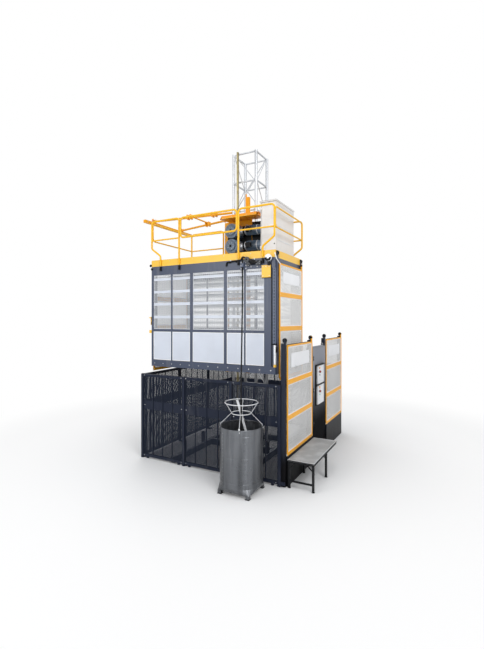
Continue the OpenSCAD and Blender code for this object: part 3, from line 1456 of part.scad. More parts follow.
base_frame();
rubber_buffers();
mast_tubes();
mast_frames();
rack();
enclosure_frame();
enclosure_mesh();
enclosure_band();
gate_posts();
electrical_panel();
cable_bucket();
bucket_guide();
trailing_cable_coil();
trailing_cable();
table_top();
table_frame();
wall_tie();
landing_gate_chains();
cage_frame();
cage_floor();
cage_mesh();
cage_panels();
cage_door_posts();
roof_beam();
roof_deck();
guard_rails();
roof_cabinet();
drive_carrier();
gearboxes();
motors();
drive_canopy();
cable_bracket();
power_hoses();
work_lamp();
cage_fittings();
cage_door_chains();
drive_pinion_upper();
drive_pinion_lower();
backup_roller();
guide_rollers_upper();
guide_rollers_lower();
near_door();
near_door_weights();
near_door_sheaves();
far_door();
far_door_weights();
far_door_sheaves();
landing_gate_1();
landing_gate_1_weights();
landing_gate_1_sheaves();
landing_gate_2();
landing_gate_2_weights();
landing_gate_2_sheaves();
roof_hatch();
cabinet_door();
panel_door();
control_boxes();
stop_button_upper();
stop_button_lower();
door_handle();
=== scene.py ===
"""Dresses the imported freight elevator: camera, cable, finishes, fine meshes, fasteners and fittings.

Every length is in metres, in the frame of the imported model: the mast axis on the ground is the
origin, +X points to the landing gates, -Y to the front of the cage, +Z up.
"""

from __future__ import annotations

import json
import logging
import math
from dataclasses import dataclass, field
from enum import Enum
from itertools import product
from typing import Iterable, Sequence

import bmesh
import bpy
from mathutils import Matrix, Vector

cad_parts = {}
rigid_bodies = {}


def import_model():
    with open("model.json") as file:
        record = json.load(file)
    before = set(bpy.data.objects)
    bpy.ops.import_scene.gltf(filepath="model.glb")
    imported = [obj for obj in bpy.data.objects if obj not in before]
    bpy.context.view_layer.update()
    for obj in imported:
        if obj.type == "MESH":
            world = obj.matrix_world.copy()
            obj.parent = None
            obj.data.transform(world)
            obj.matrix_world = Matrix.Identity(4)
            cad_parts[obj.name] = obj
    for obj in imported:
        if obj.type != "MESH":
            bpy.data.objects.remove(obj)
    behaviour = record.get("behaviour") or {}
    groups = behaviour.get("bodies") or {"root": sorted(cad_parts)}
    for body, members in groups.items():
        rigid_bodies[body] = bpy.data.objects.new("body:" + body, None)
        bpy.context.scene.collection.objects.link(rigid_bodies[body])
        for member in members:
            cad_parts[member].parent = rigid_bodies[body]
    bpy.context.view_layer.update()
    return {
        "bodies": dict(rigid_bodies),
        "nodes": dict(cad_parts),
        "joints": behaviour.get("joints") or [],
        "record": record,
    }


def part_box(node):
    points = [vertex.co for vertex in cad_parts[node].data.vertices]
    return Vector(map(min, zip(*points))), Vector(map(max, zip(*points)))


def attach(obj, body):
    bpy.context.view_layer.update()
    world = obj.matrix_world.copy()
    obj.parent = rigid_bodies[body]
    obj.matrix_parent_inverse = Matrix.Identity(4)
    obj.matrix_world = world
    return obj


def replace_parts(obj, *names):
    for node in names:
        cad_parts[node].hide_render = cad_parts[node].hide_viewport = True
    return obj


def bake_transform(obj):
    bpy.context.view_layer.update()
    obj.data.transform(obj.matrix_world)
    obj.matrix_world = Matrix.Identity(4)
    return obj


LOG = logging.getLogger("elevator")
Point = Sequence[float]
Colour = tuple[float, float, float]

# Directions in the frame, with the photographed side as the front.
RIGHT = (1, 0, 0)
FRONT = (0, -1, 0)
REAR = (0, 1, 0)
UP = (0, 0, 1)
DOWN = (0, 0, -1)
# Keeps two faces from lying in one plane.
HAIR = 0.0003
# Faces of a block whose corners are listed by x, then y, then z.
BLOCK = ((0, 1, 3, 2), (4, 6, 7, 5), (0, 4, 5, 1), (2, 3, 7, 6), (0, 2, 6, 4), (1, 5, 7, 3))
# Corners of a square, in order round it.
SQUARE = ((-1, -1), (1, -1), (1, 1), (-1, 1))
# Middle of the cable bucket.
BUCKET = (1.155, -2.64)


class Axis(Enum):
    """An axis of the frame, by its index."""

    X = 0
    Y = 1
    Z = 2

    @property
    def others(self) -> tuple[int, int]:
        """Indices of the other two axes, in order."""
        first, second = [i for i in range(3) if i != self.value]
        return first, second


# Shader values


class Value:
    """A number or colour inside a shader tree, with arithmetic that adds Math nodes."""

    def __init__(self, tree: bpy.types.NodeTree, socket: bpy.types.NodeSocket) -> None:
        """Keeps the tree and the socket that gives the value."""
        self.tree = tree
        self.socket = socket

    def _math(self, operation: str, *parts: "Value | float") -> "Value":
        """Adds a Math node that works on the parts."""
        node = self.tree.nodes.new("ShaderNodeMath")
        node.operation = operation
        for slot, part in zip(node.inputs, parts):
            if isinstance(part, Value):
                self.tree.links.new(part.socket, slot)
            else:
                slot.default_value = part
        return Value(self.tree, node.outputs[0])

    def __add__(self, other: "Value | float") -> "Value":
        """Sum of the value and another."""
        return self._math("ADD", self, other)

    __radd__ = __add__

    def __mul__(self, other: "Value | float") -> "Value":
        """Product of the value and another."""
        return self._math("MULTIPLY", self, other)

    __rmul__ = __mul__

    def __sub__(self, other: "Value | float") -> "Value":
        """The value less another."""
        return self._math("SUBTRACT", self, other)

    def __rsub__(self, other: "Value | float") -> "Value":
        """Another less the value."""
        return self._math("SUBTRACT", other, self)

    def __truediv__(self, other: "Value | float") -> "Value":
        """The value shared by another."""
        return self._math("DIVIDE", self, other)

    def sine(self) -> "Value":
        """Sine of the value, in radians."""
        return self._math("SINE", self)

    def step(self, low: float, high: float) -> "Value":
        """Smooth step from 0 at low to 1 at high.

        Args:
            low: Where the step starts.
            high: Where it ends.

        Returns:
            The stepped value.
        """
        node = self.tree.nodes.new("ShaderNodeMapRange")
        node.interpolation_type = "SMOOTHSTEP"
        self.tree.links.new(self.socket, node.inputs["Value"])
        node.inputs["From Min"].default_value = low
        node.inputs["From Max"].default_value = high
        return Value(self.tree, node.outputs["Result"])


class Shader:
    """One material's tree round its Principled shader."""

    def __init__(self, name: str) -> None:
        """Makes the material under a name."""
        self.material = bpy.data.materials.new(name)
        self.material.use_nodes = True
        self.tree = self.material.node_tree
        self.body = self.tree.nodes["Principled BSDF"]
        self.place = self.node("ShaderNodeTexCoord", "Object")

    def node(self, kind: str, output: str | int = 0, settings: dict | None = None, **inputs) -> Value:
        """Adds one node.

        Args:
            kind: Blender's node type.
            output: Name or index of the output to return.
            settings: Attributes of the node.
            inputs: Socket values by name, with _ for a space.

        Returns:
            The chosen output.
        """
        made = self.tree.nodes.new(kind)
        for key, value in (settings or {}).items():
            setattr(made, key, value)
        for key, value in inputs.items():
            self.feed(made.inputs[key.replace("_", " ")], value)
        return Value(self.tree, made.outputs[output])

    def feed(self, socket: bpy.types.NodeSocket, value: "Value | float | Point") -> None:
        """Links a shader value to a socket, or sets a constant on it."""
        if isinstance(value, Value):
            self.tree.links.new(value.socket, socket)
        elif hasattr(value, "__len__") and len(value) == 3 and socket.type == "RGBA":
            socket.default_value = (*value, 1.0)
        else:
            socket.default_value = value

    def noise(self, scale: float, detail: float = 3.0, stretch: Point = (1, 1, 1)) -> Value:
        """Noise of about 1 / scale metres, squeezed by stretch."""
        where = self.node("ShaderNodeMapping", Vector=self.place, Scale=stretch)
        return self.node("ShaderNodeTexNoise", "Fac", Vector=where, Scale=scale, Detail=detail)

    def blend(self, share: Value, first: "Value | Point", second: "Value | Point") -> Value:
        """Mixes two colours by a share from 0 to 1.

        Args:
            share: Share of the second colour.
            first: Colour at 0.
            second: Colour at 1.

        Returns:
            The mixed colour.
        """
        made = self.tree.nodes.new("ShaderNodeMix")
        made.data_type = "RGBA"
        self.feed(made.inputs["Factor"], share)
        self.feed(made.inputs[6], first)
        self.feed(made.inputs[7], second)
        return Value(self.tree, made.outputs[2])

    def bump(self, height: Value, depth: float) -> None:
        """Raises the surface by height, in metres of depth."""
        normal = self.node("ShaderNodeBump", "Normal", Height=height, Strength=1.0, Distance=depth)
        self.set(Normal=normal)

    def set(self, **inputs) -> None:
        """Sets or links the Principled shader's sockets."""
        for key, value in inputs.items():
            self.feed(self.body.inputs[key.replace("_", " ")], value)


# Finishes

DUST = (0.42, 0.4, 0.37)
CHIP = (0.2, 0.19, 0.18)
GRIME = (0.3, 0.3, 0.3)
GREASE = (0.035, 0.028, 0.02)
WORN_EDGE = (0.5, 0.5, 0.5)
# Colour of the painted shade at the foot of the panel and the gate posts.
PAINTED_SHADE_FOOT = (0.006, 0.006, 0.007)


@dataclass(frozen=True)
class Finish:
    """A surface finish, built once into a material.

    Args:
        name: Name of the material.
        colour: Main colour, linear.
        slot: Material slot of the record that it stands for; not used.
        roughness: Mean roughness.
        shine: Specular level, where 0.5 is plain varnish.
    """

    name: str
    colour: Colour
    slot: str
    roughness: float = 0.45
    shine: float = 0.5

    def paint(self, shader: Shader) -> None:
        """Adds the finish to the shader."""
        raise NotImplementedError

    def material(self) -> bpy.types.Material:
        """Returns the material, made on first use."""
        name = self.name + "_finish"
        if name not in bpy.data.materials:
            shader = Shader(name)
            shader.set(Specular_IOR_Level=self.shine)
            self.paint(shader)
        return bpy.data.materials[name]

    def shade(self, factor: float) -> tuple[float, ...]:
        """The main colour, scaled."""
        return tuple(min(1.0, part * factor) for part in self.colour)


@dataclass(frozen=True)
class Paint(Finish):
    """Sprayed or powder-coated paint with dust, drip streaks and small chips.

    Args:
        chips: Strength of the chips.
        dust: Strength of the dust in the streaks.
        coat: Weight of the gloss coat.
    """

    chips: float = 0.5
    dust: float = 0.25
    coat: float = 0.25

    def paint(self, shader: Shader) -> None:
        """Adds dust, streaks, chips and a gloss coat to the paint."""
        cloud = shader.noise(1.7, 4)
        streak = shader.noise(9.0, 4, (1, 1, 0.12)).step(0.52, 0.8)
        patches = shader.noise(130.0, 2).step(0.735, 0.76)
        chip = patches * shader.noise(3.0, 2).step(0.5, 0.68) * self.chips
        tone = shader.blend(cloud, self.shade(0.86), self.shade(1.1))
        dusty = shader.blend(streak * self.dust, tone, DUST)
        shader.set(
            Base_Color=shader.blend(chip, dusty, CHIP),
            Roughness=cloud * 0.16 + (self.roughness - 0.08) + streak * 0.12 + chip * 0.2,
            Coat_Weight=self.coat,
            Coat_Roughness=0.18,
        )
        peel = shader.noise(420.0, 2) * 0.6 + shader.noise(24.0, 2) * 0.4 - chip * 0.8
        shader.bump(peel, 0.0006)


@dataclass(frozen=True)
class PaintWithPaintedShade(Paint):
    """Paint with painted shade and painted reflection: lighter towards the top of the piece and darker
    towards its foot, with a gloss coat.

    Args:
        foot: Colour of the painted shade at the foot, linear.
        low: Height where the foot's colour ends.
        high: Height where the main colour starts.
    """

    foot: Colour = (0.012, 0.012, 0.014)
    low: float = 1.0
    high: float = 2.3

    def paint(self, shader: Shader) -> None:
        """Adds painted shade that darkens the paint towards the foot, grime and a gloss coat."""
        split = shader.node("ShaderNodeSeparateXYZ", "Z", Vector=shader.place)
        cloud = shader.noise(1.9, 4)
        grime = shader.noise(14.0, 4, (1, 1, 0.15)).step(0.5, 0.8) * self.dust
        # Painted shade and reflection: dark at the foot, the lighter main colour higher up.
        share = (split + cloud * 0.2).step(self.low, self.high)
        tone = shader.blend(share, self.foot, shader.blend(cloud, self.shade(0.9), self.shade(1.1)))
        shader.set(
            Base_Color=shader.blend(grime, tone, GRIME),
            Roughness=cloud * 0.12 + (self.roughness - 0.06) + grime * 0.3,
            Coat_Weight=self.coat,
            Coat_Roughness=0.12,
        )
        shader.bump(shader.noise(380.0, 2) * 0.5 + shader.noise(20.0, 2) * 0.5, 0.0005)


@dataclass(frozen=True)
class Galvanised(Finish):
    """Zinc coating with spangle, mottling, and pale runs and long vertical bands that are partly real run
    streaks and partly painted highlights.

    Args:
        spangle: Crystals per metre.
        mottle: Share of the mottling in the tone.
        metallic: Share of the metallic look.
        streak: Strength of the pale runs and vertical bands, which are partly painted highlights.
    """
    spangle: float = 34.0
    mottle: float = 0.5
    metallic: float = 0.75
    streak: float = 0.25

    def paint(self, shader: Shader) -> None:
        """Adds spangle, clouds, pale runs and vertical bands to the zinc; the runs and bands are partly
        painted highlights.
        """
        cells = shader.node(
            "ShaderNodeTexVoronoi", "Color", Vector=shader.place, Scale=self.spangle, Randomness=1.0
        )
        grain = shader.node("ShaderNodeRGBToBW", Color=cells)
        cloud = shader.noise(2.6, 5, (1, 1, 0.35)).step(0.34, 0.68)
        # Pale runs and long bright and dark vertical bands: partly real run streaks, partly painted
        # highlights.
        run_marks_and_sheen = shader.noise(9.0, 4, (1, 1, 0.12)).step(0.5, 0.7)
        sag_and_sheen_bands = shader.noise(5.0, 3, (1, 1, 0.1)).step(0.35, 0.6)
        tone = grain * 0.35 + cloud * 0.65 * self.mottle + (1 - self.mottle) * 0.3
        dull = shader.blend(tone * (1 - self.streak) + sag_and_sheen_bands * self.streak, self.shade(0.55), self.shade(1.28))
        shader.set(
            Base_Color=shader.blend(run_marks_and_sheen * self.streak, dull, self.shade(1.7)),
            Metallic=self.metallic,
            Roughness=grain * 0.18 + cloud * 0.12 + (self.roughness - 0.12),
        )
        shader.bump(grain * 0.4 + shader.noise(60.0, 3) * 0.6, 0.0008)


@dataclass(frozen=True)
class Steel(Finish):
    """Bare or greased steel with a fine drawn grain.

    Args:
        grease: Strength of the film of grease.
    """

    grease: float = 0.0

    def paint(self, shader: Shader) -> None:
        """Adds the grain and the film of grease."""
        grain = shader.noise(300.0, 2, (1, 1, 0.06))
        film = shader.noise(7.0, 4).step(0.4, 0.7)
        bare = shader.blend(grain, self.shade(0.8), self.shade(1.15))
        shader.set(
            Base_Color=shader.blend(film * self.grease, bare, GREASE),
            Metallic=0.9 - film * self.grease * 0.5,
            Roughness=grain * 0.15 + self.roughness - film * self.grease * 0.12,
        )
        shader.bump(grain + film * self.grease, 0.0003)


@dataclass(frozen=True)
class Moulded(Finish):
    """Moulded plastic or rubber with a fine grain and faint wear.

    Args:
        grain: Scale of the grain, per metre.
        coat: Weight of the gloss coat.
    """
    grain: float = 500.0
    coat: float = 0.0

    def paint(self, shader: Shader) -> None:
        """Adds the grain and the wear."""
        cloud = shader.noise(11.0, 4)
        shader.set(
            Base_Color=shader.blend(cloud, self.shade(0.85), self.shade(1.18)),
            Roughness=cloud * 0.14 + self.roughness - 0.06,
            Coat_Weight=self.coat,
        )
        shader.bump(shader.noise(self.grain, 2), 0.0004)


@dataclass(frozen=True)
class Cable(Finish):
    """Ribbed cable jacket with scuffs along its length."""

    def paint(self, shader: Shader) -> None:
        """Adds the scuffs and the ribs."""
        scuff = shader.noise(40.0, 4, (1, 1, 0.2)).step(0.56, 0.74)
        shader.set(
            Base_Color=shader.blend(scuff, self.colour, self.shade(3.2)),
            Roughness=scuff * 0.2 + self.roughness,
        )
        shader.bump(shader.noise(240.0, 3), 0.0006)


@dataclass(frozen=True)
class Chequer(Finish):
    """Painted or bare tread plate with raised bars set crosswise.

    Args:
        pitch: Distance between the bars, in metres.
    """

    pitch: float = 0.045

    def paint(self, shader: Shader) -> None:
        """Adds the raised bars and wears their tops."""
        split = shader.node("ShaderNodeSeparateXYZ", "X", Vector=shader.place)
        x, y = (Value(shader.tree, split.socket.node.outputs[i]) for i in (0, 1))
        turn = (x + y) / self.pitch
        across = (x - y) / self.pitch
        wave = (turn * math.pi).sine() * (across * math.pi).sine()
        bars = (wave * wave).step(0.62, 0.9)
        worn = shader.noise(5.0, 4).step(0.42, 0.66)
        tone = shader.blend(worn, self.shade(0.85), self.shade(1.1))
        shader.set(
            Base_Color=shader.blend(bars * worn * 0.6, tone, WORN_EDGE),
            Roughness=worn * 0.15 + self.roughness,
            Metallic=bars * worn * 0.4,
        )
        shader.bump(bars + shader.noise(160.0, 2) * 0.2, 0.0025)


@dataclass(frozen=True)
class Lens(Finish):
    """Coloured lens with a faint glow: a lamp's own light on the lamps, a painted glow on the gearboxes' oil
    glasses.

    Args:
        glow: Strength of the glow.
    """
    glow: float = 0.3

    def paint(self, shader: Shader) -> None:
        """Adds the ribs and the glow."""
        ribs = shader.noise(240.0, 1)
        tone = shader.blend(ribs, self.shade(0.8), self.colour)
        shader.set(
            Base_Color=tone,
            Roughness=ribs * 0.1 + self.roughness,
            Coat_Weight=0.6,
            Emission_Color=tone,
            Emission_Strength=self.glow,
        )
        shader.bump(ribs, 0.0005)


CAGE_PAINT = Paint("cage_paint", (0.046, 0.061, 0.105), "cage_paint", 0.4, 0.4, chips=0.4, dust=0.12)
EDGE_PAINT = Paint("edge_paint", (0.1, 0.125, 0.19), "cage_paint", 0.4, 0.4, chips=0.2, dust=0.12)
FENCE_PAINT = Paint("fence_paint", (0.018, 0.023, 0.04), "enclosure_paint", 0.45, 0.1, dust=0.06, coat=0.03)
# The gate posts and the panel carry painted shade, darker towards their feet.
POST_PAINT = PaintWithPaintedShade("post_paint", (0.024, 0.03, 0.045), "enclosure_paint", 0.4, 0.05,
                        dust=0.05, coat=0.05, foot=PAINTED_SHADE_FOOT, low=0.45, high=1.0)
BASE_PAINT = Paint("base_paint", (0.05, 0.055, 0.068), "base_paint", 0.5, dust=0.45)
PANEL_PAINT = PaintWithPaintedShade("panel_paint", (0.3, 0.31, 0.345), "panel_paint", 0.3, 0.0,
                         dust=0.03, coat=0.04, foot=PAINTED_SHADE_FOOT, low=0.9, high=2.5)
ROOF_YELLOW = Paint("roof_yellow", (0.95, 0.545, 0.05), "yellow_paint", 0.4, 0.4, chips=0.4, dust=0.06)
RAIL_YELLOW = Paint("rail_yellow", (0.93, 0.5, 0.008), "yellow_paint", 0.36, 0.25, chips=0.6, dust=0.03)
GATE_YELLOW = Paint("gate_yellow", (0.98, 0.43, 0.012), "gate_paint", 0.38, 0.15, chips=0.3, dust=0.04)
TIE_YELLOW = Paint("tie_yellow", (0.93, 0.4, 0.005), "yellow_paint", 0.42, 0.2, chips=0.8, dust=0.04)
ORANGE = Paint("canopy_orange", (0.95, 0.34, 0.004), "orange_paint", 0.38, 0.2, dust=0.04)
PALE_PANEL = Paint("pale_panel", (0.62, 0.66, 0.74), "light_panel", 0.35, chips=0.1, dust=0.06)
PALE_MESH = Paint("pale_mesh", (0.6, 0.62, 0.65), "light_mesh", 0.4, chips=0.1, dust=0.1)
DOOR_MESH = Paint("door_mesh", (0.88, 0.88, 0.87), "light_mesh", 0.4, chips=0.1, dust=0.03)
GATE_MESH = Paint("gate_mesh", (0.7, 0.7, 0.695), "light_mesh", 0.4, chips=0.1, dust=0.05)
FENCE_MESH = Paint("fence_mesh", (0.017, 0.022, 0.036), "enclosure_paint", 0.5, 0.05, dust=0.04, coat=0.0)
CABINET_WHITE = Paint("cabinet_white", (0.78, 0.76, 0.74), "white_paint", 0.35, chips=0.15, dust=0.1)
SIGN_WHITE = Paint("sign_white", (0.86, 0.87, 0.89), "white_paint", 0.3, chips=0.05, dust=0.04, coat=0.4)
STRUT_WHITE = Paint("strut_white", (0.72, 0.73, 0.75), "white_paint", 0.4, chips=0.4, dust=0.2)
MOTOR_BLUE = Paint("motor_blue", (0.12, 0.17, 0.235), "motor_paint", 0.38, dust=0.12)
BLACK_PAINT = Paint("black_paint", (0.012, 0.0125, 0.014), "black_paint", 0.45, 0.08, dust=0.05, coat=0.03)
ZINC = Galvanised("zinc", (0.62, 0.64, 0.67), "galvanised", 0.42, spangle=60.0, mottle=0.4)
# The bucket's strong pale runs and vertical bands are partly painted highlights.
BUCKET_ZINC = Galvanised("bucket_zinc", (0.15, 0.157, 0.169), "galvanised", 0.34,
                         spangle=26.0, mottle=0.9, metallic=0.85, streak=0.6)
BOLT_ZINC = Galvanised("bolt_zinc", (0.6, 0.61, 0.62), "galvanised", 0.34, spangle=300.0, mottle=0.3)
RACK_STEEL = Steel("rack_steel", (0.5, 0.42, 0.22), "rack_steel", 0.34, grease=0.5)
ROLLER_STEEL = Steel("roller_steel", (0.2, 0.2, 0.21), "chain_steel", 0.36, grease=0.4)
CHAIN_STEEL = Steel("chain_steel", (0.13, 0.125, 0.12), "chain_steel", 0.4, grease=0.6)
WEIGHT_IRON = Moulded("weight_iron", (0.035, 0.036, 0.04), "weight_iron", 0.6, grain=260.0)
RUBBER = Moulded("buffer_rubber", (0.02, 0.02, 0.022), "rubber", 0.68, grain=320.0)
WHITE_PLASTIC = Moulded("white_plastic", (0.8, 0.81, 0.83), "white_plastic", 0.3, coat=0.4)
BLACK_PLASTIC = Moulded("black_plastic", (0.01, 0.01, 0.011), "black_paint", 0.42, 0.1, coat=0.04)
GREY_CAST = Moulded("grey_cast", (0.06, 0.064, 0.07), "black_paint", 0.5, grain=220.0)
RED_PLASTIC = Moulded("red_plastic", (0.3, 0.008, 0.012), "red_plastic", 0.3, coat=0.5)
JACKET = Cable("cable_jacket", (0.006, 0.006, 0.007), "cable_rubber", 0.5, 0.22)
DECK = Chequer("deck_plate", (0.27, 0.285, 0.3), "grey_plate", 0.45)
HATCH_PLATE = Chequer("hatch_plate", (0.85, 0.45, 0.02), "yellow_paint", 0.42, pitch=0.06)
TABLE_PLATE = Chequer("table_plate", (0.4, 0.41, 0.415), "grey_plate", 0.5, pitch=0.05)
# AMBER also covers the gearboxes' oil glasses, where its glow is painted light.
AMBER = Lens("amber_lens", (0.95, 0.33, 0.01), "yellow_paint", 0.2, glow=0.5)
GREEN = Lens("green_lens", (0.02, 0.45, 0.25), "galvanised", 0.2, glow=0.3)
LAMP_GLASS = Lens("lamp_glass", (0.85, 0.88, 0.93), "white_plastic", 0.12, glow=0.15)


# Geometry


def steps(count: int, first: float = 0.0) -> list[float]:
    """Angles of a whole turn in equal steps from the first, in radians."""
    return [first + math.tau * i / count for i in range(count)]


def ring(middle: Point, radius: float, angles: Iterable[float], axis: Axis = Axis.Z) -> list[list[float]]:
    """Points at the given angles round a middle, in the plane across an axis.

    Args:
        middle: Middle of the ring.
        radius: Its radius.
        angles: Angles, in radians.
        axis: Axis across its plane.

    Returns:
        The points.
    """
    u, v = axis.others
    points = []
    for angle in angles:
        point = list(middle)
        point[u] += radius * math.cos(angle)
        point[v] += radius * math.sin(angle)
        points.append(point)
    return points


class Form:
    """A mesh piece in the making, with one finish per face.

    Args:
        name: Name of the piece.
        finish: Finish of the faces added first.
    """

    def __init__(self, name: str, finish: Finish) -> None:
        """Starts an empty piece."""
        self.name = name
        self.finishes: list[Finish] = [finish]
        self.points: list[Point] = []
        self.faces: list[tuple[int, ...]] = []
        self.kinds: list[int] = []
        self.kind = 0

    def use(self, finish: Finish) -> "Form":
        """Gives the faces added from now on another finish.

        Args:
            finish: Finish of the next faces.

        Returns:
            The form itself.
        """
        if finish not in self.finishes:
            self.finishes.append(finish)
        self.kind = self.finishes.index(finish)
        return self

    def add(self, points: Iterable[Point], faces: Iterable[Sequence[int]]) -> None:
        """Adds points and the faces between them, by index.

        Args:
            points: New points.
            faces: Indices among the new points, for each face.
        """
        base = len(self.points)
        self.points.extend(tuple(point) for point in points)
        made = [tuple(base + i for i in face) for face in faces]
        self.faces.extend(made)
        self.kinds.extend([self.kind] * len(made))

    def box(self, low: Point, high: Point, chamfer: float = 0.0) -> None:
        """Adds a box whose edges are chamfered.

        Args:
            low: Lowest corner.
            high: Highest corner.
            chamfer: Width of the chamfer.
        """
        cut = min(chamfer, 0.4 * min(b - a for a, b in zip(low, high)))
        if cut <= 0:
            self.add(product(*zip(low, high)), BLOCK)
            return
        spots: dict[tuple[int, int, int, int], int] = {}
        points: list[Point] = []
        signs = list(product((0, 1), repeat=3))
        for sign in signs:
            for flat in range(3):
                spots[(*sign, flat)] = len(points)
                point = []
                for a in range(3):
                    inward = 0.0 if a == flat else cut
                    point.append(high[a] - inward if sign[a] else low[a] + inward)
                points.append(point)
        faces: list[list[int]] = [[spots[(*sign, flat)] for flat in range(3)] for sign in signs]
        around = ((0, 0), (1, 0), (1, 1), (0, 1))
        for main in range(3):
            u, v = (main + 1) % 3, (main + 2) % 3
            for side in (0, 1):
                corners = []
                for i, j in around:
                    sign = [0, 0, 0]
                    sign[main], sign[u], sign[v] = side, i, j
                    corners.append(spots[(*sign, main)])
                faces.append(corners)
            for i, j in around:
                first = [0, 0, 0]
                first[u], first[v] = i, j
                last = list(first)
                last[main] = 1
                faces.append([spots[(*first, u)], spots[(*first, v)], spots[(*last, v)], spots[(*last, u)]])
        self.add(points, faces)

    def turned(self, at: Point, axis: Point, profile: Sequence[tuple[float, float]], sides: int = 24,
               turn: float = 0.0) -> None:
        """Adds a turned shape.

        Args:
            at: Point where the profile's distances start.
            axis: Direction of the turning axis.
            profile: Pairs of distance along the axis and radius.
            sides: Faces round the axis.
            turn: Angle of the first edge, in degrees.
        """
        ahead = Vector(axis).normalized()
        side = ahead.orthogonal().normalized()
        if abs(ahead.z) > 0.999:
            side = Vector(RIGHT)
        elif abs(ahead.z) < 0.001:
            side = Vector(UP)
        up = ahead.cross(side)
        rings = []
        for along, radius in profile:
            centre = Vector(at) + ahead * along
            for angle in steps(sides, math.radians(turn)):
                rings.append(centre + (side * math.cos(angle) + up * math.sin(angle)) * max(radius, 1e-5))
        self.skin(rings, sides)

    def skin(self, rings: Sequence[Point], sides: int, closed: bool = False) -> None:
        """Adds rings of points and the skin between them.

        Args:
            rings: Points of all the rings, one ring after another.
            sides: Points in a ring.
            closed: Whether the last ring joins the first; otherwise both ends are flat.
        """
        count = len(rings) // sides
        faces: list[Sequence[int]] = []
        for row in range(count if closed else count - 1):
            after = (row + 1) % count
            for i in range(sides):
                j = (i + 1) % sides
                faces.append((row * sides + i, row * sides + j, after * sides + j, after * sides + i))
        if not closed:
            faces.append(range(sides))
            faces.append(range((count - 1) * sides, count * sides))
        self.add(rings, faces)

    def rod(self, start: Point, end: Point, radius: float, sides: int = 12) -> None:
        """Adds a round bar."""
        line = Vector(end) - Vector(start)
        self.turned(start, line, [(0, radius), (line.length, radius)], sides)

    def plank(self, start: Point, end: Point, width: float, depth: float, flat: Point = REAR) -> None:
        """Adds a rectangular bar between two points.

        Args:
            start: Middle of one end.
            end: Middle of the other end.
            width: Size across, at right angles to flat.
            depth: Size along flat.
            flat: Direction of the depth.
        """
        ahead = (Vector(end) - Vector(start)).normalized()
        across = ahead.cross(Vector(flat)).normalized() * width / 2
        deep = across.cross(ahead).normalized() * depth / 2
        points = [Vector(p) + i * across + j * deep for p in (start, end) for i, j in SQUARE]
        self.add(points, [(0, 1, 2, 3), (4, 5, 6, 7), (0, 1, 5, 4), (1, 2, 6, 5), (2, 3, 7, 6), (3, 0, 4, 7)])

    def tube(self, path: Sequence[Point], radius: float, sides: int = 8, closed: bool = False) -> None:
        """Adds a round tube that follows a path.

        Args:
            path: Points along its middle.
            radius: Its radius.
            sides: Faces round it.
            closed: Whether the path closes on itself.
        """
        line = [Vector(p) for p in path]
        count = len(line)
        ahead = []
        for i in range(count):
            before = line[i - 1] if closed or i > 0 else line[0]
            after = line[(i + 1) % count] if closed or i < count - 1 else line[-1]
            ahead.append((after - before).normalized())
        side = ahead[0].orthogonal().normalized()
        rings = []
        for i in range(count):
            side = (side - ahead[i] * side.dot(ahead[i])).normalized()
            up = ahead[i].cross(side)
            for angle in steps(sides):
                rings.append(line[i] + (side * math.cos(angle) + up * math.sin(angle)) * radius)
        self.skin(rings, sides, closed)

    def bolt(self, at: Point, axis: Point, size: float) -> None:
        """Adds a hexagon head on a washer, with the stub of its thread.

        Args:
            at: Point on the face that the bolt stands on.
            axis: Direction away from that face.
            size: Radius of the washer, which the other sizes go with.
        """
        washer = [(-HAIR, size), (0.2 * size, size), (0.22 * size, 0.6 * size)]
        head = [(0.2 * size, 0.9 * size), (0.75 * size, 0.9 * size), (0.85 * size, 0.78 * size)]
        thread = [(0.8 * size, 0.48 * size), (1.1 * size, 0.48 * size), (1.18 * size, 0.4 * size)]
        self.use(BOLT_ZINC)
        self.turned(at, axis, washer, 20)
        self.turned(at, axis, head, 6, 30)
        self.turned(at, axis, thread, 12)

    def screen(self, low: Point, high: Point, rise: float, bar: float, pitch: float, wire: float) -> None:
        """Adds wire mesh in a thin upright rectangle: flattened level bars, and upright wires behind them.

        Args:
            low: Lowest corner.
            high: Highest corner.
            rise: Pitch of the level bars.
            bar: Height of a level bar.
            pitch: Pitch of the upright wires.
            wire: Width of an upright wire.
        """
        thin = 0 if high[0] - low[0] < high[1] - low[1] else 1
        wide = 1 - thin
        middle = (low[thin] + high[thin]) / 2
        half = (high[thin] - low[thin]) / 2
        rows = max(1, round((high[2] - low[2]) / rise))
        columns = max(1, round((high[wide] - low[wide]) / pitch))
        for i in range(rows):
            z = low[2] + (i + 0.5) * (high[2] - low[2]) / rows
            self._bar(thin, (middle - half, middle), (low[wide], high[wide]), (z - bar / 2, z + bar / 2))
        for i in range(1, columns):
            at = low[wide] + i * (high[wide] - low[wide]) / columns
            self._bar(thin, (middle, middle + half), (at - wire / 2, at + wire / 2), (low[2], high[2]))

    def _bar(self, thin: int, depth: Point, width: Point, height: Point) -> None:
        """Adds a plain bar from its ranges along the thin, wide and upright axes.

        Args:
            thin: Index of the thin axis.
            depth: Range along it.
            width: Range along the other level axis.
            height: Range along z.
        """
        low, high = [0.0] * 3, [0.0] * 3
        low[thin], high[thin] = depth
        low[1 - thin], high[1 - thin] = width
        low[2], high[2] = height
        self.box(low, high)

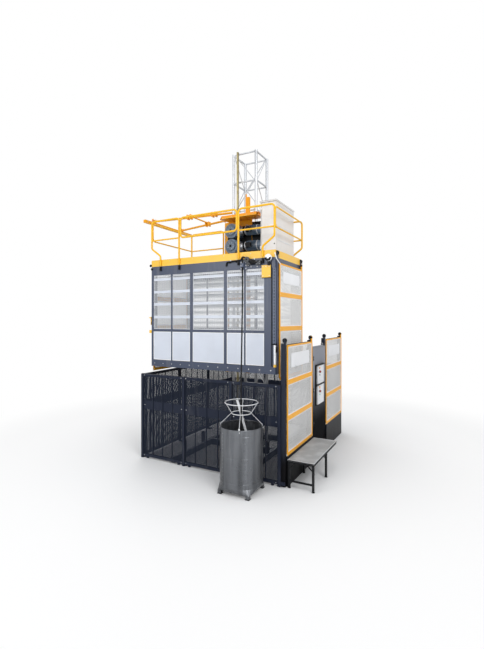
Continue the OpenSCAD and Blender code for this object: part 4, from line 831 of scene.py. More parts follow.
    def build(self, body: str | None, smooth: float = 34.0, slot: str | None = None) -> bpy.types.Object:
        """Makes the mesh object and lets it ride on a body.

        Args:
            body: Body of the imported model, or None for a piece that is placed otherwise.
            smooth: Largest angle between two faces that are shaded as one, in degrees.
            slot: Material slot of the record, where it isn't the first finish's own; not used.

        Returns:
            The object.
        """
        mesh = bpy.data.meshes.new(self.name)
        mesh.from_pydata(self.points, [], self.faces)
        for finish in self.finishes:
            mesh.materials.append(finish.material())
        mesh.polygons.foreach_set("material_index", self.kinds)
        mesh.polygons.foreach_set("use_smooth", [True] * len(self.faces))
        sculpt = bmesh.new()
        sculpt.from_mesh(mesh)
        bmesh.ops.recalc_face_normals(sculpt, faces=sculpt.faces)
        sculpt.to_mesh(mesh)
        sculpt.free()
        mesh.set_sharp_from_angle(angle=math.radians(smooth))
        made = bpy.data.objects.new(self.name, mesh)
        bpy.context.scene.collection.objects.link(made)
        if body:
            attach(made, body)
        LOG.info("piece %s: %d faces", self.name, len(self.faces))
        return made


@dataclass(frozen=True)
class Solid:
    """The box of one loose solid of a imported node.

    Args:
        low: Its lowest corner.
        high: Its highest corner.
    """

    low: Vector
    high: Vector

    @property
    def size(self) -> Vector:
        """Its three sizes."""
        return self.high - self.low

    @property
    def middle(self) -> Vector:
        """Its middle."""
        return (self.low + self.high) / 2


def solids(node: bpy.types.Object) -> list[Solid]:
    """Returns the boxes of a node's loose solids, in order of their lowest corners.

    Args:
        node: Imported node.

    Returns:
        Their boxes.
    """
    mesh = node.data
    key = [tuple(round(c, 5) for c in v.co) for v in mesh.vertices]
    boss: dict[Point, Point] = {k: k for k in key}

    def top(k: Point) -> Point:
        """First point of the group that a point belongs to."""
        while boss[k] != k:
            boss[k] = boss[boss[k]]
            k = boss[k]
        return k

    for face in mesh.polygons:
        first = top(key[face.vertices[0]])
        for i in face.vertices[1:]:
            boss[top(key[i])] = first
    groups: dict[Point, list[Point]] = {}
    for k in boss:
        groups.setdefault(top(k), []).append(k)
    found = []
    for group in groups.values():
        low = Vector([min(point[a] for point in group) for a in range(3)])
        high = Vector([max(point[a] for point in group) for a in range(3)])
        found.append(Solid(low, high))
    return sorted(found, key=lambda s: tuple(round(c, 3) for c in s.low))


def outline_box(form: Form, solid: Solid, border: float, axis: Axis, out: float, depth: float) -> None:
    """Adds a flat raised border round a sheet's face.

    Args:
        form: Piece that takes the border.
        solid: The sheet.
        border: Width of the border.
        axis: Axis across the sheet.
        out: Place of the sheet's face along that axis.
        depth: Thickness, signed away from the sheet.
    """
    u, v = axis.others
    low, high = solid.low, solid.high
    inner = (low[u] + border, high[u] - border)
    spans = [
        ((low[u], inner[0]), (low[v], high[v])),
        ((inner[1], high[u]), (low[v], high[v])),
        (inner, (low[v], low[v] + border)),
        (inner, (high[v] - border, high[v])),
    ]
    for across, up in spans:
        first, last = [0.0] * 3, [0.0] * 3
        first[axis.value], last[axis.value] = sorted((out, out + depth))
        first[u], last[u] = across
        first[v], last[v] = up
        form.box(first, last, 0.0008)


# Sub-assemblies


@dataclass
class Studio:
    """Camera, floor and lights.

    Args:
        eye: Place of the camera.
        bearing: Turn of the camera about +Z, in degrees.
        lens: Focal length for a 36 mm wide sensor, in millimetres.
        drop: Vertical shift of the view, in sensor widths.
    """

    eye: tuple[float, float, float] = (4.714, -9.211, 3.25)
    bearing: float = 28.35
    lens: float = 21.69
    drop: float = -0.0069

    def aim(self) -> None:
        """Adds the camera."""
        camera = bpy.data.cameras.new("camera")
        camera.lens, camera.sensor_width, camera.shift_y = self.lens, 36.0, self.drop
        made = bpy.data.objects.new("camera", camera)
        made.location = self.eye
        made.rotation_euler = (math.radians(90), 0, math.radians(self.bearing))
        bpy.context.scene.collection.objects.link(made)
        bpy.context.scene.camera = made

    def light(self) -> None:
        """Adds the floor, the world and the lights."""
        shader = Shader("studio_floor")
        shader.set(Base_Color=(0.9, 0.9, 0.9), Roughness=0.7)
        glow = shader.node("ShaderNodeEmission", Color=(1.0, 1.0, 1.0), Strength=1.0)
        reach = shader.node("ShaderNodeVectorMath", "Value", {"operation": "LENGTH"}, Vector=shader.place)
        seen = shader.node("ShaderNodeLightPath", "Is Camera Ray")
        share = seen * (reach.step(2.2, 6.0) * 0.65 + reach.step(6.0, 9.0) * 0.35)
        mix = shader.tree.nodes.new("ShaderNodeMixShader")
        for slot, part in zip(mix.inputs, (share, Value(shader.tree, shader.body.outputs[0]), glow)):
            shader.feed(slot, part)
        shader.tree.links.new(mix.outputs[0], shader.tree.nodes["Material Output"].inputs["Surface"])
        floor = Form("studio_floor", SIGN_WHITE)
        wide, drop = 40, -0.002
        floor.add([(i * wide, j * wide, drop) for i, j in SQUARE], [(0, 1, 2, 3)])
        ground = floor.build(None)
        ground.data.materials[0] = shader.material
        self.world()
        self.area("key_light", (9.5, -8.5, 9.5), (0.6, -1.0, 2.6), 5.0, 640)
        self.area("front_light", (-3.5, -11.5, 5.5), (-0.3, -1.5, 3.0), 6.0, 300)
        self.area("top_light", (0.5, -1.0, 14.0), (0.0, -0.5, 3.0), 9.0, 330)
        self.area("back_light", (-7.5, 7.5, 8.0), (0.0, 0.0, 3.0), 6.0, 260)

    def world(self) -> None:
        """Adds a background that is white where it is seen and gives a softer light."""
        world = bpy.data.worlds.new("studio")
        bpy.context.scene.world = world
        world.use_nodes = True
        tree = world.node_tree
        plain = tree.nodes["Background"]
        plain.inputs["Color"].default_value = (0.95, 0.97, 1.0, 1.0)
        plain.inputs["Strength"].default_value = 0.56
        seen = tree.nodes.new("ShaderNodeBackground")
        seen.inputs["Color"].default_value = (1.0, 1.0, 1.0, 1.0)
        path = tree.nodes.new("ShaderNodeLightPath")
        kinds = ("Is Camera Ray", "Is Glossy Ray", "Is Transmission Ray")
        rays = [Value(tree, path.outputs[kind]) for kind in kinds]
        mix = tree.nodes.new("ShaderNodeMixShader")
        tree.links.new((rays[0] + rays[1] + rays[2]).socket, mix.inputs["Fac"])
        tree.links.new(plain.outputs[0], mix.inputs[1])
        tree.links.new(seen.outputs[0], mix.inputs[2])
        tree.links.new(mix.outputs[0], tree.nodes["World Output"].inputs["Surface"])

    def area(self, name: str, at: Point, target: Point, size: float, power: float) -> None:
        """Adds one soft area light.

        Args:
            name: Name of the light.
            at: Its place.
            target: Point that it shines on.
            size: Side of its square.
            power: Its power, in watts.
        """
        light = bpy.data.lights.new(name, "AREA")
        light.size, light.energy = size, power
        made = bpy.data.objects.new(name, light)
        made.location = at
        made.rotation_euler = (Vector(target) - Vector(at)).to_track_quat("-Z", "Y").to_euler()
        bpy.context.scene.collection.objects.link(made)


@dataclass
class TrailingCable:
    """The cable coiled in the bucket, and its free stretch up to the clamp on the cage.

    Args:
        bucket: Middle of the bucket, on the ground.
        radius: Radius of the outer loops, at the cable's middle.
        step: Distance between neighbouring loops.
        low: Height of the lower layer.
        layer: Height from one layer to the next.
        turns: Loops in a layer.
        diameter: Diameter of the cable.
        clamp: Where the free stretch ends, inside the clamp.
        route: Points that the free stretch passes, in millimetres.
    """

    bucket: tuple[float, float] = BUCKET
    radius: float = 0.35
    step: float = 0.036
    low: float = 0.1913
    layer: float = 0.032
    turns: int = 4
    diameter: float = 0.03
    clamp: tuple[float, float, float] = (0.89, -2.102, 4.345)
    route: list[tuple[int, int, int]] = field(default_factory=lambda: [
        (1500, -2739, 227), (1486, -2776, 235), (1455, -2813, 249), (1410, -2841, 272), (1357, -2850, 305),
        (1305, -2838, 347), (1261, -2808, 403), (1226, -2768, 472), (1200, -2727, 558), (1181, -2691, 662),
        (1168, -2664, 787), (1160, -2648, 938), (1155, -2641, 1130), (1150, -2638, 1380), (1140, -2622, 1640),
        (1120, -2588, 1940), (1080, -2500, 2400), (1030, -2390, 2900), (970, -2260, 3420), (920, -2160, 3900),
        (895, -2112, 4170),
    ])

    def coil(self, per_turn: int = 48) -> list[Vector]:
        """Points of the piled coil: the lower layer winds in and the upper one winds out.

        Args:
            per_turn: Points in one loop.

        Returns:
            The points, from the end in the bucket.
        """
        half = self.turns * per_turn
        middle = Vector((*self.bucket, 0))
        points = [middle + Vector((self.radius, self.diameter, self.low))]
        for i in range(2 * half + 1):
            wound = i if i <= half else 2 * half - i
            angle = -math.tau * i / per_turn
            climb = min(1.0, max(0.0, (i - half + per_turn / 4) / (per_turn / 2)))
            reach = self.radius - self.step * wound / per_turn
            height = self.low + climb * self.layer
            points.append(middle + Vector((reach * math.cos(angle), reach * math.sin(angle), height)))
        points.append(middle + self.exit())
        return points

    def exit(self) -> Vector:
        """Where the cable leaves the coil, from the middle of the bucket."""
        return Vector((self.radius, -self.diameter, self.low + self.layer))

    def free(self, pieces: int = 8) -> list[Vector]:
        """Points of the free stretch, on a smooth curve through the route.

        Args:
            pieces: Points between two points of the route.

        Returns:
            The points, up to the clamp.
        """
        out = Vector((*self.bucket, 0)) + self.exit()
        clamp = Vector(self.clamp)
        knots = [out, out - Vector((0, self.diameter, 0))]
        knots += [Vector(point) / 1000 for point in self.route]
        knots += [clamp - Vector((0, 0, 0.05)), clamp]
        points = []
        for i in range(1, len(knots) - 2):
            a, b, c, d = knots[i - 1:i + 3]
            for k in range(pieces):
                t = k / pieces
                square = (2 * a - 5 * b + 4 * c - d) * t * t
                cube = (3 * b - a - 3 * c + d) * t ** 3
                points.append(0.5 * (2 * b + (c - a) * t + square + cube))
        return points + knots[-2:]

    def build(self) -> None:
        points = self.coil() + self.free()
        form = Form("trailing_cable_run", JACKET)
        form.tube(points, self.diameter / 2, 14)
        run = form.build(None, smooth=60)
        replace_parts(run, "trailing_cable", "trailing_cable_coil")
        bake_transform(run)
        length = sum((b - a).length for a, b in zip(points, points[1:]))
        LOG.info("cable: %.2f m in all", length)
        sleeve = Form("cable_sleeve", BLACK_PLASTIC)
        foot = Vector(self.clamp) - Vector((0, 0, 0.09))
        sleeve.turned(foot, UP, [(0, 0.0153), (0.004, 0.0165), (0.088, 0.022)], 24)
        sleeve.build("cage")


@dataclass
class Assembly:
    """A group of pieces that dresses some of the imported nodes.

    Args:
        nodes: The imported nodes.
    """

    nodes: dict[str, bpy.types.Object]

    def build(self) -> None:
        """Adds the pieces of the group."""
        raise NotImplementedError


@dataclass
class CageWalls(Assembly):
    """Meshes, borders, slotted strips and fasteners of the two long walls.

    Args:
        middle: Middle of the cage along y.
        slot_pitch: Distance between two slots of a strip.
    """

    middle: float = -1.3
    slot_pitch: float = 0.062

    def build(self) -> None:
        """Adds all pieces of the walls."""
        self.screens()
        self.borders()
        self.corner()
        self.fasteners()

    def screens(self) -> None:
        """Replaces the coarse sheets by fine wire mesh and slotted edge strips."""
        form = Form("cage_screens", PALE_MESH)
        for part in solids(self.nodes["cage_mesh"]):
            if part.size.x < 0.1:
                self.strip(form, part)
            else:
                form.use(PALE_MESH).screen(part.low, part.high, 0.0235, 0.0105, 0.052, 0.005)
        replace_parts(form.build("cage"), "cage_mesh")

    def strip(self, form: Form, part: Solid) -> None:
        """Adds a folded strip with a row of upright slots, a black back that shows as painted shade through
        the slots, and a black band of painted shade at its edge.

        Args:
            form: Piece that takes the strip.
            part: Box of the strip.
        """
        low, high, middle = part.low, part.high, part.middle.x + 0.006
        sheet, half, web = 0.001, 0.0095, 0.011
        # Black back and edge band: painted shade in and beside the folded strip.
        form.use(BLACK_PAINT).box((low.x + 0.004, high.y - sheet, low.z), (high.x - 0.004, high.y, high.z))
        form.box(low, (low.x + 0.012, low.y + sheet, high.z))
        form.use(EDGE_PAINT)
        low = Vector((low.x + 0.012, low.y, low.z))
        high = Vector((high.x, high.y - sheet, high.z))
        form.box(low, (middle - half, high.y, high.z))
        form.box((middle + half, low.y, low.z), high)
        count = round(part.size.z / self.slot_pitch)
        for i in range(count + 1):
            z = min(low.z + i * part.size.z / count, high.z - web)
            form.box((middle - half, low.y, max(low.z, z - web)), (middle + half, high.y, z + web))

    def borders(self) -> None:
        """Adds folded borders to the panels and bays, and seams to the light bars."""
        form = Form("panel_borders", SIGN_WHITE)
        for part in solids(self.nodes["cage_panels"]):
            out, depth = self.outer(part, 0.0025)
            if part.size.z > 0.3:
                outline_box(form, part, 0.016, Axis.Y, out, depth)
            else:
                for z in (part.low.z + 0.004, part.high.z - 0.007):
                    form.box(*self.slab(part, out, depth, z, z + 0.003))
        for part in solids(self.nodes["cage_mesh"]):
            if part.size.x > 0.1:
                out, depth = self.outer(part, 0.003)
                outline_box(form, part, 0.013, Axis.Y, out, depth)
                form.box(*self.slab(part, out, depth, part.high.z - 0.036, part.high.z - 0.024))
        form.build("cage", slot="light_panel")

    def outer(self, part: Solid, depth: float) -> tuple[float, float]:
        """Place of a sheet's outer face along y, and a depth signed away from it."""
        return (part.low.y, -depth) if part.middle.y < self.middle else (part.high.y, depth)

    @staticmethod
    def slab(part: Solid, out: float, depth: float, z0: float, z1: float) -> tuple[Point, Point]:
        """Corners of a level strip on the face of a sheet."""
        y0, y1 = sorted((out, out + depth))
        return (part.low.x, y0, z0), (part.high.x, y1, z1)

    def corner(self) -> None:
        """Adds the fittings of the corner by the near door: plate, bar, limit switch and struts."""
        low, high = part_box("cage_frame")
        x, y = high[0], low[1]
        foot, bar, top = 2.305, 2.36, 2.745
        form = Form("corner_fittings", SIGN_WHITE)
        form.box((x - 0.034, y - 0.003, bar), (x + 0.003, y - HAIR, top), 0.001)
        form.box((x + HAIR, y - HAIR, bar), (x + 0.004, y + 0.085, top), 0.001)
        form.use(ROOF_YELLOW).box((x - 0.04, y - 0.008, foot), (x + 0.006, y - HAIR, bar - 0.003), 0.002)
        form.box((x + HAIR, y - HAIR, foot), (x + 0.008, y + 0.09, bar - 0.003), 0.002)
        form.use(BLACK_PAINT)
        form.box((x - 0.08, y - 0.005, top + 0.007), (x + 0.004, y - HAIR, top + 0.027), 0.002)
        form.box((x - 0.09, y - 0.002, 2.32), (x - 0.078, y - HAIR, 4.5), 0.0005)
        form.use(BLACK_PLASTIC).box((x + 0.001, y + 0.002, 2.6), (x + 0.029, y + 0.04, 2.72), 0.004)
        form.turned((x + 0.015, y + 0.021, 2.72), UP, [(0, 0.006), (0.05, 0.006)], 10)
        form.turned((x + 0.015, y + 0.012, 2.772), REAR, [(0, 0.012), (0.018, 0.012)], 16)
        for z in (2.38, 2.55, 2.72):
            form.bolt((x - 0.016, y - 0.003, z), FRONT, 0.006)
        knee = (x + 0.03, y - 0.012, 4.47)
        form.use(STRUT_WHITE).plank((x - 0.006, y - 0.012, 4.6), knee, 0.022, 0.006)
        form.plank(knee, (x + 0.067, y + 0.11, 4.37), 0.024, 0.005, RIGHT)
        form.bolt((x + 0.002, y - 0.015, 4.575), FRONT, 0.009)
        form.build("cage")

    def fasteners(self) -> None:
        """Adds bolt rows, the clamps under the rail feet and the far corner's hooks."""
        low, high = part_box("cage_frame")
        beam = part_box("roof_beam")[0]
        face, foot = beam[1], beam[2]
        form = Form("cage_fasteners", BOLT_ZINC)
        for i in range(13):
            x = low[0] + 0.1 + i * (high[0] - low[0] - 0.2) / 12
            form.bolt((x, low[1], low[2] + 0.075), FRONT, 0.011)
            form.bolt((x, high[1], low[2] + 0.075), REAR, 0.011)
        for x in (-1.5, -1.05, -0.4, 0.4, 1.05, 1.5):
            form.bolt((x, face, foot + 0.11), FRONT, 0.008)
        clamp, knob = low[1] - 0.03, [(0, 0.017), (0.012, 0.017), (0.02, 0.01)]
        for x in (-1.31, -0.77, 0.77, 1.33):
            form.use(BLACK_PAINT)
            form.box((x - 0.021, clamp, foot - 0.115), (x + 0.021, low[1], foot - 0.01), 0.003)
            form.turned((x, clamp, foot - 0.085), FRONT, knob, 12)
        hook = [(0, 0.026), (0.004, 0.03), (0.026, 0.03)]
        for x, z in ((low[0] - 0.022, foot + 0.03), (low[0] + 0.015, foot - 0.055)):
            form.use(BLACK_PLASTIC).turned((x, low[1] - 0.016, z), REAR, hook, 20)
        first = (low[0] - 0.03, low[1] - 0.006, foot + 0.02)
        last = (low[0] + 0.03, low[1] - 0.006, foot - 0.05)
        form.use(STRUT_WHITE).plank(first, last, 0.026, 0.008)
        form.build("cage")


@dataclass
class Enclosure(Assembly):
    """Fine mesh, caps, feet and anchors of the ground enclosure.

    Args:
        pitch: Pitch of the mesh both ways.
        wire: Width of the mesh's bars.
        foot: Half the side of a foot plate.
    """

    pitch: float = 0.021
    wire: float = 0.0105
    foot: float = 0.06

    def build(self) -> None:
        """Adds the meshes and the fasteners."""
        form = Form("fence_screens", FENCE_MESH)
        for part in solids(self.nodes["enclosure_mesh"]):
            form.screen(part.low, part.high, self.pitch, self.wire, self.pitch, self.wire)
        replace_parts(form.build("base"), "enclosure_mesh")
        fixings = Form("fence_fixings", FENCE_PAINT)
        frame = solids(self.nodes["enclosure_frame"])
        for post in frame:
            if post.size.z > 1.9:
                self.post_foot(fixings, post)
        rails = [s for s in frame if 0.055 < s.size.z < 0.065 and max(s.size.x, s.size.y) > 0.5]
        for rail in rails + solids(self.nodes["enclosure_band"]):
            self.rail_bolts(fixings, rail)
        fixings.build("base")

    def post_foot(self, form: Form, post: Solid) -> None:
        """Adds a post's foot plate, its anchor and its cap.

        Args:
            form: Piece that takes them.
            post: The post.
        """
        low, high, middle, half = post.low, post.high, post.middle, self.foot
        if abs(middle.x) > abs(middle.y) * 0.84:
            side = Vector((math.copysign(1, -middle.x), 0, 0))
        else:
            side = Vector((0, math.copysign(1, -middle.y), 0))
        foot = middle + side * half
        anchor = foot + side * 0.035
        form.use(FENCE_PAINT)
        form.box((foot.x - half, foot.y - half, 0.0), (foot.x + half, foot.y + half, 0.008), 0.002)
        form.bolt((anchor.x, anchor.y, 0.008), UP, 0.012)
        first = (low.x + 0.004, low.y + 0.004, high.z)
        last = (high.x - 0.004, high.y - 0.004, high.z + 0.006)
        form.use(BLACK_PLASTIC).box(first, last, 0.003)

    @staticmethod
    def rail_bolts(form: Form, rail: Solid) -> None:
        """Adds a bolt at each end of a rail's outer face.

        Args:
            form: Piece that takes the bolts.
            rail: The rail.
        """
        along = 0 if rail.size.x > rail.size.y else 1
        across = 1 - along
        out = math.copysign(1, rail.middle[across])
        for at in (rail.low[along] + 0.035, rail.high[along] - 0.035):
            spot = Vector(rail.middle)
            spot[along] = at
            spot[across] = rail.high[across] if out > 0 else rail.low[across]
            axis = [0.0, 0.0, 0.0]
            axis[across] = out
            form.bolt(spot, axis, 0.009)


@dataclass
class DoorSet:
    """Dressed leaf, chains and fittings of one door or gate that lifts.

    Args:
        name: Node and body of the leaf.
        holder: Body that carries the posts.
        chains: Node of the chains, where this set stands for it.
        bars: Heights of the crossbars above the leaf's foot.
        out: +1 where the leaf hangs on the +X side of its sheaves, else -1.
        plate: Whether the leaf carries a sign plate.
        pitch: Pitch of the leaf's mesh.
        tube: Width of the side tubes, and height of the top tube.
        foot: Height of the foot tube.
        crossbar: Height of a crossbar.
        tip: Height of the lug above the top tube.
    """

    name: str
    holder: str
    chains: str | None
    bars: tuple[float, float]
    out: int = 1
    plate: bool = True
    pitch: float = 0.016
    tube: float = 0.034
    foot: float = 0.06
    crossbar: float = 0.095
    tip: float = 0.12

    def __post_init__(self) -> None:
        """Reads the boxes of the leaf and its sheaves."""
        low, high = (Vector(corner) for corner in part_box(self.name))
        self.y0, self.y1 = low.y + 0.02, high.y - 0.02
        self.z0, self.z1 = low.z, high.z - self.tip
        self.crossbars = [self.z0 + bar for bar in self.bars]
        self.inside = (self.y0 + self.tube, self.y1 - self.tube)
        self.face = high.x if self.out > 0 else low.x
        self.axis = self.face - self.out * 0.055
        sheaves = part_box(self.name + "_sheaves")
        self.sheave_z = (sheaves[0][2] + sheaves[1][2]) / 2

    def span(self, near: float, far: float) -> tuple[float, float]:
        """Range of x between two distances from the sheave axis, outward."""
        first, last = sorted((self.axis + self.out * near, self.axis + self.out * far))
        return first, last

    def build(self) -> None:
        """Adds the leaf, the chains and the sheave pins."""
        self.leaf()
        self.runs()
        self.wraps()
        self.pins()

    def bar(self, form: Form, near: float, far: float, y: Point, z: Point, chamfer: float = 0.002) -> None:
        """Adds a bar from its ranges.

        Args:
            form: Piece that takes the bar.
            near: Distance of its inner face from the sheave axis.
            far: Distance of its outer face.
            y: Range along y.
            z: Range along z.
            chamfer: Width of the chamfer.
        """
        x = self.span(near, far)
        form.box((x[0], y[0], z[0]), (x[1], y[1], z[1]), chamfer)

    def leaf(self) -> None:
        """Builds the leaf: tube frame, crossbars, meshes in pale borders, shoes, lug, plate and bolts."""
        form = Form(self.name + "_leaf", GATE_YELLOW)
        self.frame(form)
        tops = [self.z0 + self.foot] + [z + self.crossbar for z in self.crossbars]
        ends = self.crossbars + [self.z1 - self.tube]
        for z in zip(tops, ends):
            self.mesh_field(form, z)
        self.shoes(form)
        self.lug(form)
        if self.plate:
            self.sign(form, tops[-1], self.z1 - 0.06)
        for y in (self.y0 + self.tube / 2, self.y1 - self.tube / 2):
            for z in self.crossbars:
                form.bolt((self.face, y, z + 0.047), (self.out, 0, 0), 0.008)
        knob = (self.face, self.y1 - 0.1, self.z0 + 0.03)
        form.use(BLACK_PLASTIC).turned(knob, (self.out, 0, 0), [(0, 0.014), (0.004, 0.014)], 16)
        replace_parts(form.build(self.name), self.name)

    def frame(self, form: Form) -> None:
        """Adds the tube frame and the crossbars.

        Args:
            form: Piece that takes them.
        """
        near, far = 0.025, 0.055
        for y in ((self.y0, self.inside[0]), (self.inside[1], self.y1)):
            self.bar(form, near, far, y, (self.z0, self.z1), 0.003)
        for z in ((self.z0, self.z0 + self.foot), (self.z1 - self.tube, self.z1)):
            self.bar(form, near, far, self.inside, z, 0.003)
        for z in self.crossbars:
            self.bar(form, near, 0.0535, self.inside, (z, z + self.crossbar), 0.003)

    def shoes(self, form: Form) -> None:
        """Adds the guide lugs at the foot and the slide shoes behind the side tubes.

        Args:
            form: Piece that takes them.
        """
        for y in (self.y0 - 0.02, self.y1):
            form.use(BOLT_ZINC)
            self.bar(form, 0.033, 0.047, (y, y + 0.02), (self.z0, self.z0 + 0.04), 0.002)
            spot = (self.axis + self.out * 0.047, y + 0.01, self.z0 + 0.022)
            form.turned(spot, (self.out, 0, 0), [(0, 0.006), (0.005, 0.006), (0.007, 0.004)], 10)
        form.use(BLACK_PLASTIC)
        for y in (self.y0 + 0.004, self.y1 - 0.014):
            for z in (self.z0 + 0.13, self.z0 + 0.4):
                self.bar(form, 0.017, 0.025, (y, y + 0.01), (z, z + 0.1), 0.001)

    def lug(self, form: Form) -> None:
        """Adds the lug above the top tube, with its roller and bolts, and the seal along the tube.

        Args:
            form: Piece that takes them.
        """
        y, z1 = self.y1 - 0.0325, self.z1
        form.use(GATE_YELLOW)
        self.bar(form, 0.026, 0.054, (y - 0.0155, y + 0.0155), (z1 - 0.002, z1 + self.tip), 0.004)
        roller = [(-0.02, 0.012), (-0.0175, 0.0215), (0.0175, 0.0215), (0.02, 0.012)]
        form.use(BLACK_PLASTIC)
        form.turned((self.axis + self.out * 0.04, y, z1 + self.tip - 0.026), REAR, roller, 20)
        for z in (z1 + 0.02, z1 + 0.05):
            form.bolt((self.axis + self.out * 0.054, y, z), (self.out, 0, 0), 0.006)
        form.use(BLACK_PAINT)
        self.bar(form, 0.024, 0.036, self.inside, (z1 - 0.001, z1 + 0.012), 0.002)

    def mesh_field(self, form: Form, z: Point) -> None:
        """Adds one mesh field with its pale border.

        Args:
            form: Piece that takes it.
            z: Range of heights between two bars.
        """
        x, sheet = self.span(0.034, 0.044), self.span(0.037, 0.041)
        rim, sill = 0.026, 0.018
        (y0, y1), (z0, z1) = self.inside, z
        left, right, foot, top = y0 + rim, y1 - rim, z0 + sill, z1 - sill
        border = (((y0, left), (z0, z1)), ((right, y1), (z0, z1)),
                  ((left, right), (z0, foot)), ((left, right), (top, z1)))
        form.use(SIGN_WHITE)
        for across, up in border:
            form.box((x[0], across[0], up[0]), (x[1], across[1], up[1]), 0.001)
        form.use(GATE_MESH if self.holder == "base" else DOOR_MESH)
        form.screen((sheet[0], left, foot), (sheet[1], right, top),
                    self.pitch, self.pitch * 0.5, self.pitch * 1.5, self.pitch * 0.55)

    def sign(self, form: Form, low: float, high: float) -> None:
        """Adds the blank white plate of the top field.

        Args:
            form: Piece that takes the plate.
            low: Foot of the top field.
            high: Top of that field.
        """
        y0, y1 = self.y0, self.y1
        middle, half = (y0 + y1) / 2, (y1 - y0) * 0.36
        z0, z1 = low + (high - low) * 0.36, low + (high - low) * 0.82
        form.use(SIGN_WHITE)
        self.bar(form, 0.044, 0.048, (middle - half, middle + half), (z0, z1), 0.0015)
        form.use(BOLT_ZINC)
        for y in (middle - half + 0.03, middle + half - 0.03):
            for z in (z0 + 0.03, z1 - 0.03):
                spot = (self.axis + self.out * 0.048, y, z)
                form.turned(spot, (self.out, 0, 0), [(0, 0.007), (0.002, 0.006), (0.003, 0.002)], 10)

    def links(self, form: Form, x: float, y: float, low: float, high: float) -> None:
        """Adds a straight run of chain.

        Args:
            form: Piece that takes the links.
            x: Middle of the chain along x.
            y: Middle along y.
            low: Foot of the run.
            high: Top of the run.
        """
        count = max(2, round((high - low) / 0.019))
        step = (high - low) / count
        for i in range(count):
            wide, deep = (0.004, 0.0022) if i % 2 else (0.0026, 0.0038)
            z = low + i * step
            form.box((x - deep, y - wide, z - 0.002), (x + deep, y + wide, z + step + 0.002))

    def posts(self) -> tuple[float, float]:
        """Middles of the two posts along y."""
        return self.y0 - 0.016, self.y1 + 0.016

    def runs(self) -> None:
        """Adds the chain runs, which stretch between the sheaves and what they carry."""
        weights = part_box(self.name + "_weights")
        for label, body, x, foot in (
            ("leaf_runs", self.name, self.axis + self.out * 0.04, self.z0 + 0.04),
            ("weight_runs", self.name + "_weights", self.axis - self.out * 0.04, weights[1][2]),
        ):
            form = Form(self.name + "_" + label, CHAIN_STEEL)
            for y in self.posts():
                self.links(form, x, y, foot + 0.001, self.sheave_z)
            run = form.build(None)
            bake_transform(run)

    def wraps(self) -> None:
        """Adds the chain over each sheave."""
        form = Form(self.name + "_wraps", CHAIN_STEEL)
        count = 10
        angles = [math.pi * i / count for i in range(count + 1)]
        for y in self.posts():
            ends = ring((self.axis, y, self.sheave_z), 0.04, angles, Axis.Y)
            for i in range(count):
                width, depth = (0.0044, 0.008) if i % 2 else (0.0076, 0.0052)
                form.plank(ends[i], ends[i + 1], width, depth)
        made = form.build(self.holder)
        if self.chains:
            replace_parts(made, self.chains)

    def pins(self) -> None:
        """Adds the ends of the sheave pins."""
        form = Form(self.name + "_pins", BLACK_PAINT)
        end = [(0, 0.011), (0.004, 0.011), (0.006, 0.008)]
        for y in self.posts():
            for way in (-1, 1):
                form.turned((self.axis, y + way * 0.018, self.sheave_z), (0, way, 0), end, 6)
        form.build(self.holder)


